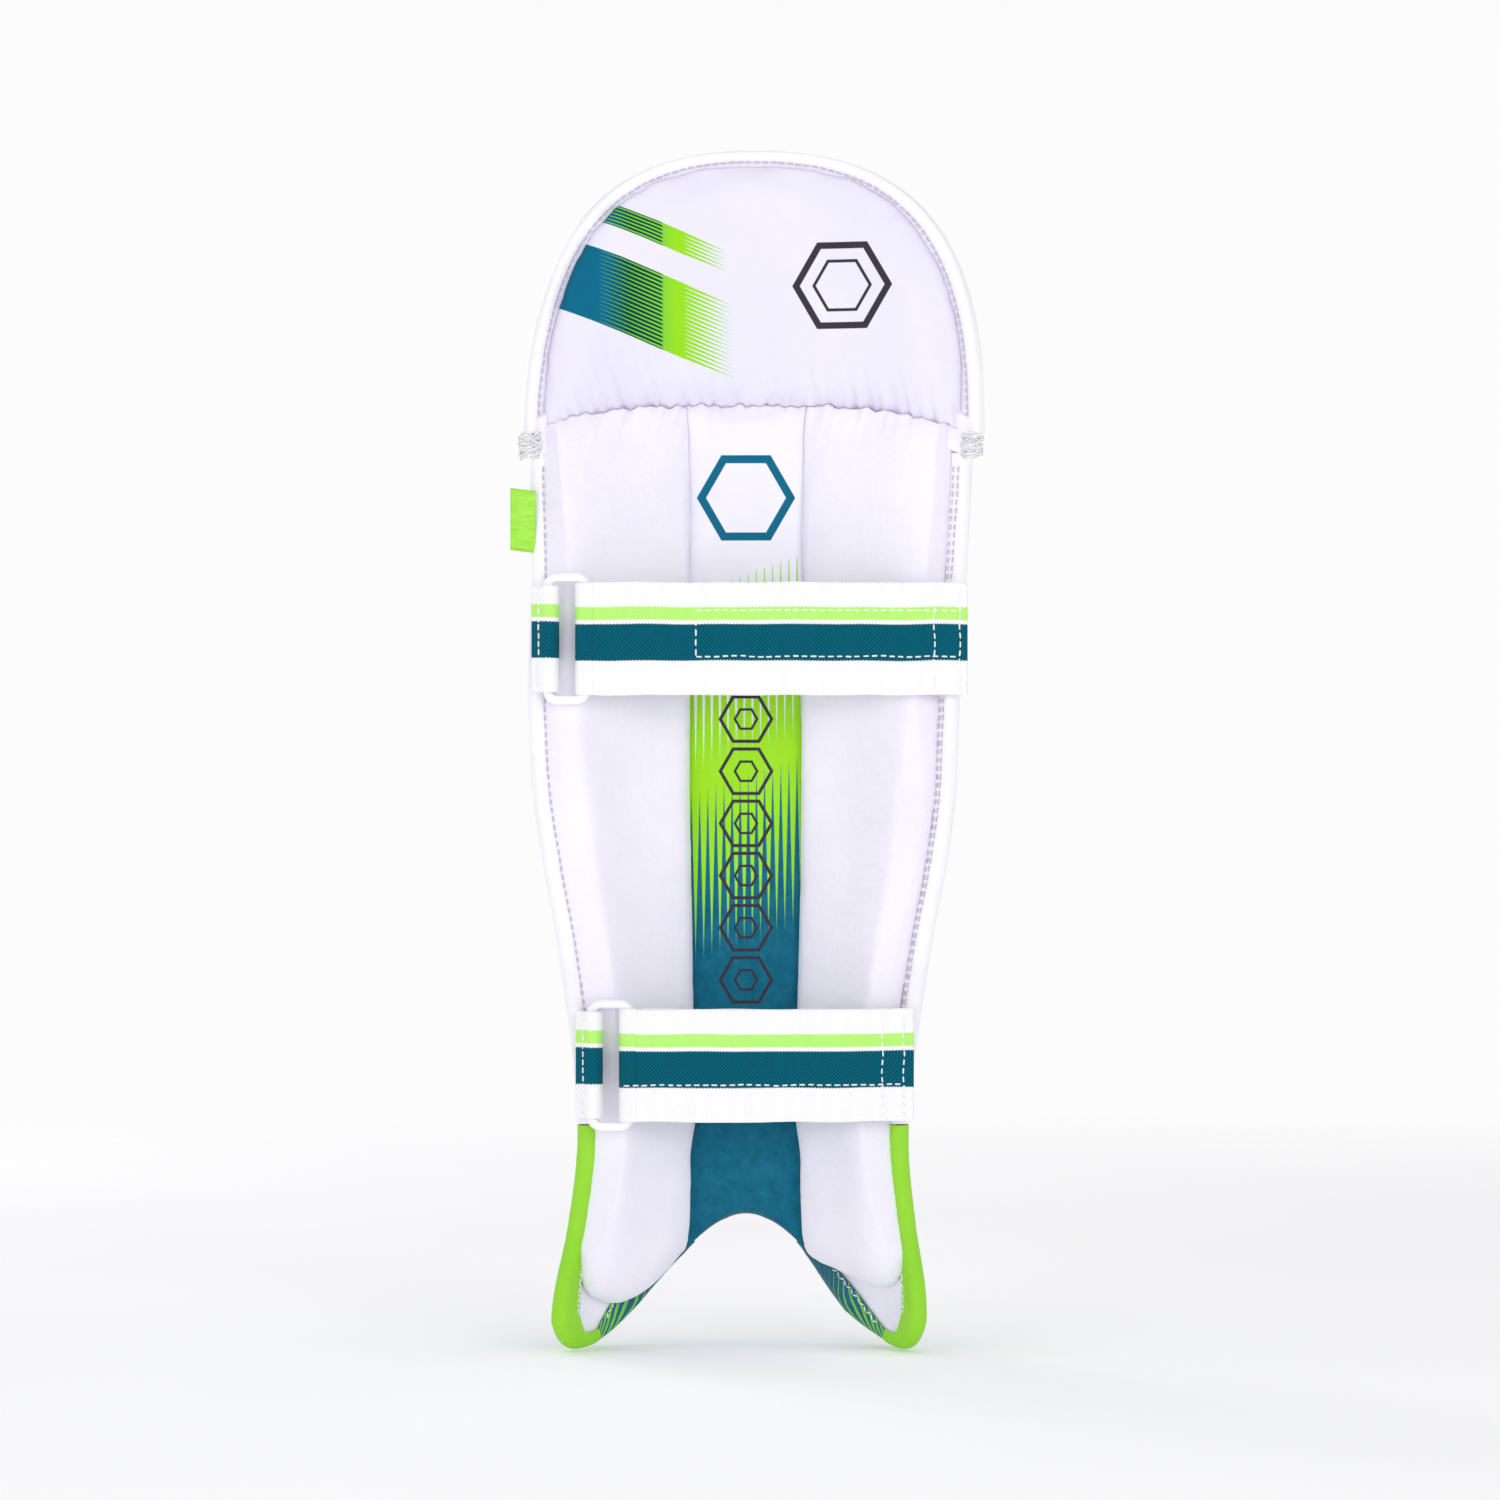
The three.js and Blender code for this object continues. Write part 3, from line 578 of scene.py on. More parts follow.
def centre_cloth():
    """Cloth printed from white at the top, through lime lines to lime, through teal lines to teal at the
    foot, with a plain hexagon at the top and a column of small ones below it. A dark teal line of painted
    shade runs down both edges, in the seams under the side bolsters, fainter near the top."""
    g = Graph("centre_print_and_seam_shade", roughness=0.72, sheen=0.04, specular=0.14)
    x, _, z = g.split(g.place)
    slant = g.sub(z, g.mul(x, 0.35))
    saw = g.saw(x, 4.2, -0.9)
    tone = g.noise(g.place, 40, 3.0)
    white = g.tint(tone, WHITE, SHADE, 0.35, 0.65, 0.5)
    lime_cover = g.ramp(slant, 146, 47, 0.06, 1.08)
    lime = g.ramp(g.sub(lime_cover, saw), -0.09, 0.09)
    lime = g.mul(lime, g.ramp(slant, 144, 141))
    teal_cover = g.ramp(slant, 39, -51, 0.0, 1.08)
    teal = g.mul(g.ramp(g.sub(teal_cover, saw), -0.09, 0.09), g.ramp(slant, 40, 37))
    lime_ink = g.tint(tone, LIME, linear(160, 226, 44))
    blot = g.noise(g.place, 7, 4.0, 0.7)
    teal_ink = g.tint(blot, linear(4, 96, 124), linear(26, 116, 144), 0.35, 0.75)
    colour = g.mix(teal, g.mix(lime, white, lime_ink), teal_ink)
    big = hexagon(g, x, g.sub(z, 182), 20.0, 4.2)
    step = 27.0
    row = g.sub(g.mul(g.math("FRACT", g.mul(g.add(z, 81.0), 1 / step)), step), step / 2)
    small = g.mul(hexagon(g, x, row, 11.5, 1.7), g.inside(z, -81, 81, 0.2))
    inner = g.mul(hexagon(g, x, row, 5.0, 1.3), g.inside(z, -81, 81, 0.2))
    colour = g.mix(big, colour, TEAL)
    colour = g.mix(g.math("MAXIMUM", small, inner), colour, DARK)
    # Painted shade: a dark teal line down both edges, in the seams beside the side bolsters, fainter near the
    # top.
    edge = g.ramp(g.math("ABSOLUTE", x), 30.4, 31.8)
    colour = g.mix(g.mul(edge, g.ramp(z, 150, 120, 0.35, 0.85)), colour, linear(12, 52, 66))
    return g.done(colour, cloth_surface(g, g.place, 1.1), g.ramp(tone, 0.3, 0.7, 0.66, 0.8))


def pebbled(g, stretch, slack, lift, depth):
    """The pebbles, the finer scratches and the relief of grained PU."""
    pebble = g.grain(g.uv, 1.7)
    marks = g.noise(g.vector("MULTIPLY", g.uv, stretch), 2.6, 5.0, 0.7)
    soft = g.bump(g.noise(g.uv, slack, 2.0), lift)
    return pebble, marks, g.bump(g.add(g.mul(pebble, 0.8), g.mul(marks, 0.5)), depth, under=soft)


def leather(name, light, dark, roughness=0.42, coat=0.12, scuff=0.5):
    """Grained PU with a slight change of tone and gloss."""
    g = Graph(name, roughness=roughness, coat=coat, specular=0.45)
    tone = g.noise(g.uv, 45, 4.0)
    pebble, marks, normal = pebbled(g, (0.12, 1.0, 0.6), 22, 0.35, 0.09)
    colour = g.tint(tone, light, dark, 0.35, 0.65, scuff)
    colour = g.tint(pebble, colour, dark, 0.3, 0.75, 0.12)
    return g.done(colour, normal, g.ramp(marks, 0.35, 0.7, roughness - 0.07, roughness + 0.14))


def webbing_material():
    """Woven strap webbing laid out in millimetres, u along and v up the strap: white with a teal
    band and a flecked lime stripe, in a fine diamond weave."""
    g = Graph("striped_webbing", roughness=0.85, sheen=0.03, specular=0.1)
    u, v, _ = g.split(g.uv)
    twill = g.mul(g.wave(g.add(u, v), 2.1), g.wave(g.sub(u, v), 2.1))
    pick = g.wave(u, 0.95)
    drift = g.mul(g.sub(g.noise(g.uv, 30, 2.0), 0.5), 0.5)
    edge = g.add(v, g.add(drift, g.mul(g.sub(g.wave(u, 1.6), 0.5), 0.35)))
    white = g.mix(g.ramp(twill, 0.1, 0.7, 0.0, 0.45), linear(252, 251, 253), linear(226, 223, 231))
    teal = g.mix(g.ramp(twill, 0.1, 0.65), linear(0, 96, 115), linear(0, 66, 86))
    fleck = g.math("GREATER_THAN", g.mul(g.wave(g.add(u, v), 1.7), g.wave(g.sub(u, v), 1.7)), 0.42)
    lime = g.mix(fleck, linear(172, 242, 88), linear(218, 252, 186))
    colour = g.mix(g.inside(edge, 37.9, 44.6, 0.25), white, lime)
    colour = g.mix(g.inside(edge, 17.3, 35.9, 0.25), colour, teal)
    soft = g.bump(g.noise(g.uv, 16, 2.0), 0.3)
    normal = g.bump(g.add(twill, g.mul(pick, 0.6)), 0.16, under=soft)
    return g.done(colour, normal)


def patch_material(name, hooks):
    g = Graph(name, roughness=0.9, sheen=0.1 if hooks else 0.6, specular=0.2)
    fuzz = g.grain(g.place, 1.1 if hooks else 0.7, 0.1)
    loose = g.noise(g.place, 1.6, 5.0, 0.8)
    colour = g.tint(loose, linear(236, 235, 240), linear(206, 204, 214))
    return g.done(colour, g.bump(g.add(fuzz, loose), 0.5))


def plastic_material():
    g = Graph("ring_acetal", roughness=0.3, coat=0.1, specular=0.5, subsurface=0.08)
    flow = g.noise(g.place, 14, 3.0)
    nick = g.noise(g.vector("MULTIPLY", g.place, (1.0, 1.0, 0.15)), 1.3, 4.0, 0.75)
    colour = g.tint(flow, linear(250, 250, 252), linear(238, 238, 243), 0.35, 0.65)
    normal = g.bump(nick, 0.03, under=g.bump(flow, 0.12))
    return g.done(colour, normal, g.ramp(nick, 0.4, 0.75, 0.26, 0.44))


def thread_material(name="thread", light=(255, 255, 255), dark=(249, 247, 253)):
    g = Graph(name, roughness=0.7, sheen=0.2, specular=0.2)
    u, v, _ = g.split(g.uv)
    twist = g.wave(g.add(u, v), 0.8)
    colour = g.mix(twist, linear(*dark), linear(*light))
    return g.done(colour, g.bump(twist, 0.12))


def ribbon_material():
    g = Graph("satin_ribbon", roughness=0.34, sheen=0.15, coat=0.25, specular=0.6)
    _, v, _ = g.split(g.uv)
    rib = g.wave(v, 0.55)
    streak = g.noise(g.vector("MULTIPLY", g.uv, (0.15, 1.0, 1.0)), 1.4, 4.0, 0.6)
    colour = g.tint(streak, linear(140, 222, 20), linear(176, 240, 70))
    selvedge = g.math("MAXIMUM", g.ramp(v, 1.6, 0.9), g.ramp(v, 30.4, 31.1))
    colour = g.mix(g.mul(selvedge, 0.35), colour, linear(110, 186, 14))
    return g.done(colour, g.bump(rib, 0.08), g.ramp(streak, 0.3, 0.7, 0.28, 0.44))


def label_material():
    g = Graph("satin_label", roughness=0.5, sheen=0.1, specular=0.25)
    u, v, _ = g.split(g.uv)
    satin = g.add(g.wave(u, 0.5), g.wave(v, 0.7))
    tone = g.noise(g.uv, 12, 3.0)
    colour = g.tint(tone, linear(255, 255, 255), linear(245, 245, 252))
    return g.done(colour, g.bump(satin, 0.06, under=g.bump(tone, 0.5)))


def instep_material(name, lined):
    """Teal cloth that wraps the instep's lower edge, printed with flowing lime lines at the sides."""
    g = Graph(name, roughness=0.55, coat=0.05, specular=0.4)
    u, v, _ = g.split(g.uv)
    bend = g.add(g.mul(g.wave(u, 46), 5.0), g.mul(g.noise(g.uv, 30, 2.0), 6.0))
    saw = g.saw(g.add(g.mul(u, 0.55), g.add(v, bend)), 3.6)
    cover = g.ramp(u, 10, 50, 0.55 * lined, 0.0)
    line = g.ramp(g.sub(cover, saw), -0.1, 0.1)
    colour = g.mix(line, linear(14, 92, 116), linear(112, 196, 70))
    grain = g.grain(g.uv, 1.5)
    return g.done(colour, g.bump(grain, 0.08, under=g.bump(g.noise(g.uv, 14, 2.0), 0.3)))


def cover_material():
    """White grained PU whose foot is printed teal, with lime and teal lines rising out of it."""
    g = Graph("face_pu", roughness=0.4, coat=0.12, specular=0.45)
    u, v, _ = g.split(g.uv)
    tone = g.noise(g.uv, 45, 4.0)
    pebble, marks, normal = pebbled(g, (0.12, 1.0, 1.0), 20, 0.4, 0.06)
    white = g.tint(tone, linear(242, 241, 247), linear(226, 224, 236), 0.35, 0.65, 0.5)
    lift = g.add(v, g.mul(g.math("ABSOLUTE", u), -0.35))
    saw = g.saw(u, 5.2)
    lime_cover = g.ramp(lift, 120, 66, 0.0, 1.1)
    lime = g.mul(g.ramp(g.sub(lime_cover, saw), -0.08, 0.08), g.ramp(lift, 121, 118))
    teal_cover = g.ramp(lift, 72, 30, 0.0, 1.1)
    teal = g.mul(g.ramp(g.sub(teal_cover, g.sub(1.0, saw)), -0.08, 0.08), g.ramp(lift, 73, 70))
    colour = g.mix(teal, g.mix(lime, white, LIME), TEAL)
    colour = g.tint(pebble, colour, linear(150, 150, 170), 0.3, 0.75, 0.10)
    return g.done(colour, normal, g.ramp(marks, 0.35, 0.7, 0.34, 0.54))


def foam_material():
    g = Graph("closed_cell_foam", roughness=0.95, specular=0.15)
    cells = g.grain(g.place, 1.2, 0.1)
    tone = g.noise(g.place, 18, 3.0)
    colour = g.tint(tone, linear(222, 219, 208), linear(198, 194, 180))
    return g.done(g.mix(g.ramp(cells, 0.2, 0.6, 0.3, 0.0), colour, linear(150, 146, 134)), g.bump(cells, 0.5))


def cane_material():
    g = Graph("split_cane", roughness=0.5, coat=0.15, specular=0.4)
    fibre = g.noise(g.vector("MULTIPLY", g.place, (1.0, 1.0, 0.03)), 0.8, 5.0, 0.7)
    node_ring = g.ramp(g.saw(g.split(g.place)[2], 88.0), 0.95, 0.99)
    colour = g.tint(fibre, linear(206, 172, 112), linear(168, 128, 70))
    return g.done(g.mix(g.mul(node_ring, 0.6), colour, linear(118, 84, 44)), g.bump(fibre, 0.2))


CUSHION = cloth("cushion_white")
LINING_CLOTH = cloth("lining_white", linear(243, 240, 251), linear(229, 225, 243), uv=True)
FLAP_CLOTH = flap_cloth()
CENTRE_CLOTH = centre_cloth()
FACE_PU = cover_material()
FLAP_PU = leather("flap_pu", linear(242, 241, 247), linear(226, 224, 236))
WHITE_TAPE = leather("white_tape", linear(247, 246, 250), linear(232, 230, 240), 0.45)
LIME_TAPE = leather("lime_tape", linear(149, 218, 36), linear(132, 206, 24), 0.5, 0.05, scuff=0.6)
INSTEP = instep_material("instep_print", 1.0)
ARCH_HEM = instep_material("arch_print", 0.0)
WEB = webbing_material()
HOOKS = patch_material("hook_side", True)
LOOPS = patch_material("loop_side", False)
PLASTIC = plastic_material()
THREAD = thread_material()
SEAM_THREAD = thread_material("seam_thread", (232, 222, 238), (192, 180, 206))
RIBBON = ribbon_material()
SATIN = label_material()
FOAM = foam_material()
CANE = cane_material()


# --- Cushions

def read(mesh, key="co"):
    values = np.empty(len(mesh.vertices) * 3)
    mesh.vertices.foreach_get(key, values)
    return values.reshape(-1, 3)


def change_by(piece, kind, **settings):
    """Adds a modifier and applies it."""
    modifier = piece.modifiers.new(kind.lower(), kind)
    for key, value in settings.items():
        setattr(modifier, key, value)
    bpy.ops.object.modifier_apply(modifier=modifier.name)


def swell(piece, voxel, cap, pressure=4.0, frames=20):
    """Inflates a closed mesh as filled cloth, moving no point further than the cap."""
    bpy.context.view_layer.objects.active = piece
    change_by(piece, "REMESH", mode="VOXEL", voxel_size=voxel * 0.001, use_smooth_shade=True)
    before = read(piece.data)
    sim = piece.modifiers.new("fill", "CLOTH")
    sim.settings.use_pressure = True
    sim.settings.uniform_pressure_force = pressure
    sim.settings.effector_weights.gravity = 0
    sim.settings.quality = 5
    sim.settings.mass = 0.3
    sim.settings.tension_stiffness = 25
    sim.settings.compression_stiffness = 25
    sim.settings.bending_stiffness = 2.0
    sim.point_cache.frame_start, sim.point_cache.frame_end = 1, frames
    for f in range(1, frames + 1):
        bpy.context.scene.frame_set(f)
    baked = piece.evaluated_get(bpy.context.evaluated_depsgraph_get())
    move = read(baked.data) - before
    size = np.linalg.norm(move, axis=1, keepdims=True)
    move *= np.minimum(1, cap * 0.001 / np.maximum(size, 1e-9))
    piece.modifiers.remove(sim)
    bpy.context.scene.frame_set(1)
    piece.data.vertices.foreach_set("co", (before + move).ravel())
    change_by(piece, "SMOOTH", factor=0.5, iterations=4)
    change_by(piece, "SUBSURF", levels=1, render_levels=1)
    piece.data.shade_smooth()


def reshape(piece, change):
    """Moves a piece's points: change takes them in millimetres with their normals."""
    mesh = piece.data
    points = change(read(mesh) * 1000, read(mesh, "normal"))
    mesh.vertices.foreach_set("co", (points * 0.001).ravel())
    mesh.update()


def lumps(points, size, seed):
    return np.array([noise.noise(Vector(p) / size + Vector((seed, 0, 0))) for p in points])


def fold_sway(points):
    """How the seam at the fold wanders up and down, about -1 to 1."""
    return ripple(points[:, 0], 19, 8, 13, 26)


def fold_height(points):
    """The height of the fold line above the origin, over points spread across the pad."""
    return fold_line(np.clip(points[:, 0] / FOLD_REACH, -1, 1)) - ORIGIN_HEIGHT


def seam_height(points):
    """The height of the fold seam above the wing tips, as it wanders along the fold line."""
    return fold_height(points) + ORIGIN_HEIGHT + 1.3 * fold_sway(points)


def gathers(points, normals, reach, depth, seed):
    """Puckers that run out of the fold seam and die away."""
    away = np.abs(points[:, 2] - fold_height(points))
    fade = np.exp(-away / reach)
    wave = ripple(points[:, 0] + 0.25 * away, seed, 5.5, 8, 13)
    points = points + normals * (depth * fade * wave)[:, None]
    points[:, 2] += 1.1 * np.exp(-away / 5) * fold_sway(points)
    return points


def fold_with(piece):
    """The flap's foot is sewn to the shin at the fold seam. This only bakes a flap piece's place into its
    mesh.
    """
    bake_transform(piece)


def crown(s, power):
    return np.maximum(0, 1 - np.abs(2 * s - 1) ** power) ** 0.6


# The height of each side bolster's foot, from its inner edge, 0, to its outer one, 1
SIDE_LOW = {
    "left": profile([[0, 53], [0.1, 47], [0.25, 36.5], [0.4, 29], [0.55, 25.5], [0.7, 27.5],
                     [0.84, 34], [0.93, 47], [1, 60]]),
    "right": profile([[0, 53], [0.12, 46], [0.3, 41], [0.5, 36], [0.66, 33.5], [0.8, 35],
                      [0.92, 45], [1, 58]]),
}


def centre_seam(height):
    """How far from the middle the seams beside the centre bolster lie. The side bolsters bulge over
    them by 4 mm, and they spread at the foot."""
    return CENTRE_HALF_WIDTH + 4.0 + 3.6 * smooth(height, 122, 96)


def side_inset(sign, height):
    """The right bolster stops further from the edge, except at its foot."""
    return (4.2 if sign > 0 else 0.0) * smooth(height, 90, 150)


def side_bolster(side, sign):
    S, V = grid(23, 64)
    low = SIDE_LOW[side](S)
    high = fold_line(S) + 6
    H = lerp(low, high, V)
    along = lerp(centre_seam(H) - 5, half_length(H) + 4.6 - side_inset(sign, H), S)
    from_end = np.minimum(1, np.minimum(H - low, high - H) / 20)
    fill = crown(S, 3) * from_end * (2 - from_end)
    outer = wrap(sign * along, H, 3.0)
    inner = wrap(sign * along, H, -1.6 - lerp(7.0, SIDE_BOLSTER - 3.0, fill))
    piece = slab("side_bolster_" + side, outer, inner, CUSHION, edge=0.2)
    swell(piece, 3.7, 3.6)

    def finish(points, normals):
        soft = lumps(points * np.array([1, 1, 0.45]), 30, 3 + sign)
        points = points + normals * (0.8 * soft)[:, None]
        inboard = np.exp(-np.abs(np.abs(points[:, 0]) - 34) / 5)
        points = points + normals * (0.35 * inboard * ripple(points[:, 2], 5 + sign, 13, 29))[:, None]
        points = gathers(points, normals, 10, 1.3, 21 + sign)
        along, height, depth = unwrap(points)
        edge = half_length(height) + 0.6 - side_inset(sign, height)
        along = sign * np.clip(sign * along, centre_seam(height) + 0.05, edge)
        return wrap(along, np.minimum(height, seam_height(points) - 0.1), np.minimum(depth, -0.3))

    reshape(piece, finish)
    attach(piece, "shin")
    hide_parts("bolster_" + side)


def centre_bolster():
    S, V = grid(19, 84)
    low = shin_low(np.minimum(np.abs(2 * S - 1) * 33, 25.5) / 66) - 3.5
    H = lerp(low, FOLD_CROWN + 6, V)
    along = (2 * S - 1) * (centre_seam(H) + 5)
    outer = wrap(along, H, 3.0)
    inner = wrap(along, H, -1)
    from_end = np.minimum(1, np.minimum(V, 1 - V) * 24)
    fill = crown(S, 3.4) * from_end * (2 - from_end)
    inner[..., 1] = lerp(inner[..., 1] - 6.0, spine(H) - LINING_Y + 3.0, fill)
    piece = slab("centre_bolster_pad", outer, inner, CENTRE_CLOTH, edge=0.2)
    swell(piece, 3.7, 2.6)

    def finish(points, normals):
        soft = lumps(points * np.array([1, 1, 0.6]), 24, 9)
        x, z = points[:, 0], points[:, 2]
        creases = np.exp(-np.abs(z + 180) / 12) * ripple(x + z, 31, 16, 29)
        creases = creases + 0.8 * np.exp(-np.abs(z + 142) / 7) * ripple(0.6 * x - z, 37, 8, 15)
        creases = creases + 0.9 * np.exp(-np.abs(z + 194) / 8) * ripple(0.9 * np.abs(x) - z, 39, 7, 12)
        points = points + normals * (0.6 * soft + 0.9 * creases)[:, None]
        seam = np.exp(-np.abs(np.abs(points[:, 0]) - 32) / 4)
        points = points + normals * (0.3 * seam * ripple(points[:, 2], 33, 11, 23))[:, None]
        points = gathers(points, normals, 9, 1.0, 35)
        points[:, 1] = np.maximum(points[:, 1], 0.3 + spine(points[:, 2] + ORIGIN_HEIGHT) - LINING_Y)
        along, height, depth = unwrap(points)
        reach = centre_seam(height) - 0.05
        along = np.clip(along, -reach, reach)
        height = np.maximum(height, shin_low(np.abs(along) / 112) - 1.5)
        return wrap(along, np.minimum(height, seam_height(points) - 0.1), np.minimum(depth, -0.3))

    reshape(piece, finish)
    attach(piece, "shin")
    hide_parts("bolster_centre")


def flap_cushion():
    S, V = grid(61, 37)
    inset = 6.4
    u = 0.985 * np.sin((S - 0.5) * np.pi)
    low, top = fold_line(u) - 6, dome_top(u, inset)
    H = lerp(low, np.maximum(top, low + 4), V)
    along = u * (FLAP_HALF_WIDTH - inset)
    outer = wrap_flap(along, H, 2.5)
    fill = crown(S, 5) * crown(V, 5)
    inner = wrap_flap(along, H, -1.0 - lerp(6.0, FLAP_CUSHION - 3.5, fill))
    piece = slab("knee_cushion", outer, inner, FLAP_CLOTH, edge=0.2)
    swell(piece, 4.2, 4.5)

    def finish(points, normals):
        soft = lumps(points, 42, 17)
        points = points + normals * (1.0 * soft)[:, None]
        share = dome_share(points[:, 0] / FOLD_REACH, points[:, 2] + ORIGIN_HEIGHT)
        rim = np.exp(-np.abs(share - 0.93) / 0.05)
        around = np.arctan2(points[:, 2] - 222, points[:, 0]) * 110
        points = points + normals * (0.45 * rim * ripple(around, 43, 9, 15, 24))[:, None]
        points = gathers(points, normals, 12, 1.6, 41)
        along, height, depth = unwrap_flap(points)
        return wrap_flap(along, np.maximum(height, seam_height(points) + 0.1), np.minimum(depth, -0.3))

    reshape(piece, finish)
    fold_with(piece)
    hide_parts("flap_cushion")


# --- Shin: lining, foam, canes and ribbed cover

def shin_grid(us, rows, depth, low=shin_low, high=shin_top):
    v = np.linspace(0, 1, rows)
    U, V = np.meshgrid(us, v)
    H = lerp(low(U), high(U), V)
    along = U * half_length(H)
    return wrap(along, H, depth(U, H)), np.stack([along, H], -1)


def flat_area():
    """The flat area of the shin's lining, in square metres."""
    us = np.linspace(-1, 1, 201)
    total = 0.0
    for u in us:
        heights = np.linspace(float(shin_low(u)), float(shin_top(u)), 60)
        total += float(np.mean(half_length(heights))) * (heights[-1] - heights[0])
    return total * (us[1] - us[0]) * 1e-6


def stitch_line(bend, along, heights, depth, sink=0.05, side=1):
    """A run of points on the cloth with its normals, for points at a depth in the pattern."""
    path = bend(along, heights, depth + sink)
    return path, bend(along, heights, depth + side) - path


def build_lining():
    us = np.linspace(-1, 1, 121)
    def slack(U, H):
        wing = smooth(H, 95, 30)
        return 0.5 * wing * ripple(U * 90 + H * 0.5, 51, 26, 41)
    outer, uv = shin_grid(us, 150, lambda U, H: LINING + 0 * U)
    inner, _ = shin_grid(us, 150, lambda U, H: np.minimum(LINING - 0.6, slack(U, H)))
    piece = slab("leg_lining", outer, inner, LINING_CLOTH, uv)
    width = 2 * float(np.max(half_length(np.linspace(0, 490, 50)))) / 1000
    flat_area()
    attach(piece, "shin")
    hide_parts("rear_lining")


def build_foam():
    board_low = lambda u: ARCH_CROWN + 7 + 0 * u
    wing_top = lambda u: ARCH_CROWN + 6 + 0 * u
    back = lambda U, H: LINING + LAYER_GAP + 0 * U
    front = lambda U, H: board_front(U) + 0.12 * np.sin(H / 7) * np.sin(U * 40)
    parts = [("shin_foam_board", "foam_board", -0.995, 0.995, board_low, shin_top),
             ("wing_foam_pad_left", "wing_foam_left", -0.98, -0.02, shin_low, wing_top),
             ("wing_foam_pad_right", "wing_foam_right", 0.02, 0.98, shin_low, wing_top)]
    for name, node, a, b, low, high in parts:
        us = np.linspace(a, b, 41)
        outer, uv = shin_grid(us, 40, front, low, high)
        inner, _ = shin_grid(us, 40, back, low, high)
        piece = slab(name, outer, inner, FOAM, uv)
        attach(piece, "shin")
        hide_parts(node)


def build_canes():
    for i in range(CANES):
        u = RIB_SPAN * ((2 * i + 1) / CANES - 1)
        heights = np.linspace(ARCH_CROWN + 22, float(shin_top(u)) - 10, 60)
        middle = wrap(u * half_length(heights), heights, board_front(u) + LAYER_GAP + CANE_RADIUS)
        near = wrap(u * half_length(heights), heights, board_front(u) + LAYER_GAP + CANE_RADIUS + 1)
        side, up = frames_along(middle, near - middle)
        rings = []
        for k, h in enumerate(heights):
            radius = CANE_RADIUS * (0.94 + 0.06 * math.exp(-((h + 17 * i) % 88 - 44) ** 2 / 8))
            turn = circle(14)[:, None]
            rings.append(middle[k] + radius * (np.cos(turn) * side[k] + np.sin(turn) * up[k]))
        piece = tube(f"cane_{i + 1}", np.array(rings), CANE)
        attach(piece, "shin")
        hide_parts(f"cane_rod_{i + 1}")


def build_cover():
    """The struck face: PU drawn over the canes and sewn down in the valley between each pair."""
    per_rib = 12
    valleys = [lerp(-RIB_SPAN, RIB_SPAN, k / CANES) for k in range(CANES + 1)]
    us = list(np.linspace(-1, -RIB_SPAN, 9)[:-1])
    for k in range(CANES):
        steps = (1 - np.cos(np.linspace(0, np.pi, per_rib + 1)[:-1])) / 2
        us += list(lerp(valleys[k], valleys[k + 1], steps))
    us += list(np.linspace(RIB_SPAN, 1, 9))
    us = np.array(us)

    def outside(U, H):
        across = np.abs(U)
        phase = ((np.clip(U, -RIB_SPAN, RIB_SPAN) / RIB_SPAN + 1) / 2) * CANES
        rib = np.where(across < RIB_SPAN, np.abs(np.sin(np.pi * phase)) ** 0.55, 0)
        ends = np.clip(np.minimum(H - shin_low(U), shin_top(U) - H) / 16, 0, 1)
        ends = ends * (2 - ends)
        pucker = 0.35 * (1 - rib) * ripple(H, 61 + 3, 9, 15) * (across < RIB_SPAN + 0.05)
        plump = 0.5 * rib * ripple(H + 40 * U, 67, 60, 110)
        tube_rise = RIB_HEIGHT * rib * (0.35 + 0.65 * ends)
        return board_front(U) + LAYER_GAP + COVER + tube_rise + pucker + plump

    outer, uv = shin_grid(us, 170, outside)
    inner, _ = shin_grid(us, 170, lambda U, H: outside(U, H) - COVER)
    piece = slab("ribbed_cover", outer, inner, FACE_PU, uv)
    flat_area() * 1.2
    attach(piece, "shin")
    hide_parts("face_cover")
    runs = []
    for valley in valleys:
        heights = np.linspace(float(shin_low(valley)) + 8, float(shin_top(valley)) - 8, 160)
        depth = outside(valley + 0 * heights, heights)
        runs.append(stitch_line(wrap, valley * half_length(heights), heights, depth))
    for u in (-0.965, 0.965):
        heights = np.linspace(WING_TOP - 70, float(shin_top(u)) - 14, 160)
        depth = outside(u + 0 * heights, heights)
        runs.append(stitch_line(wrap, u * half_length(heights), heights, depth))
    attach(stitches("rib_stitching", runs, 3.4, 1.5, 0.4), "shin")


# --- Bindings

def outline(sign, top, distance):
    """A pattern point on the shin's edge: 0 to 1 down the side, 1 to 2 along the arch."""
    distance = np.asarray(distance, float)
    side = distance <= 1
    u = np.where(side, 1.0, 2 - distance)
    height = np.where(side, lerp(top, float(shin_low(1)), distance), shin_low(u))
    return np.stack([sign * u * half_length(height), height], -1), u


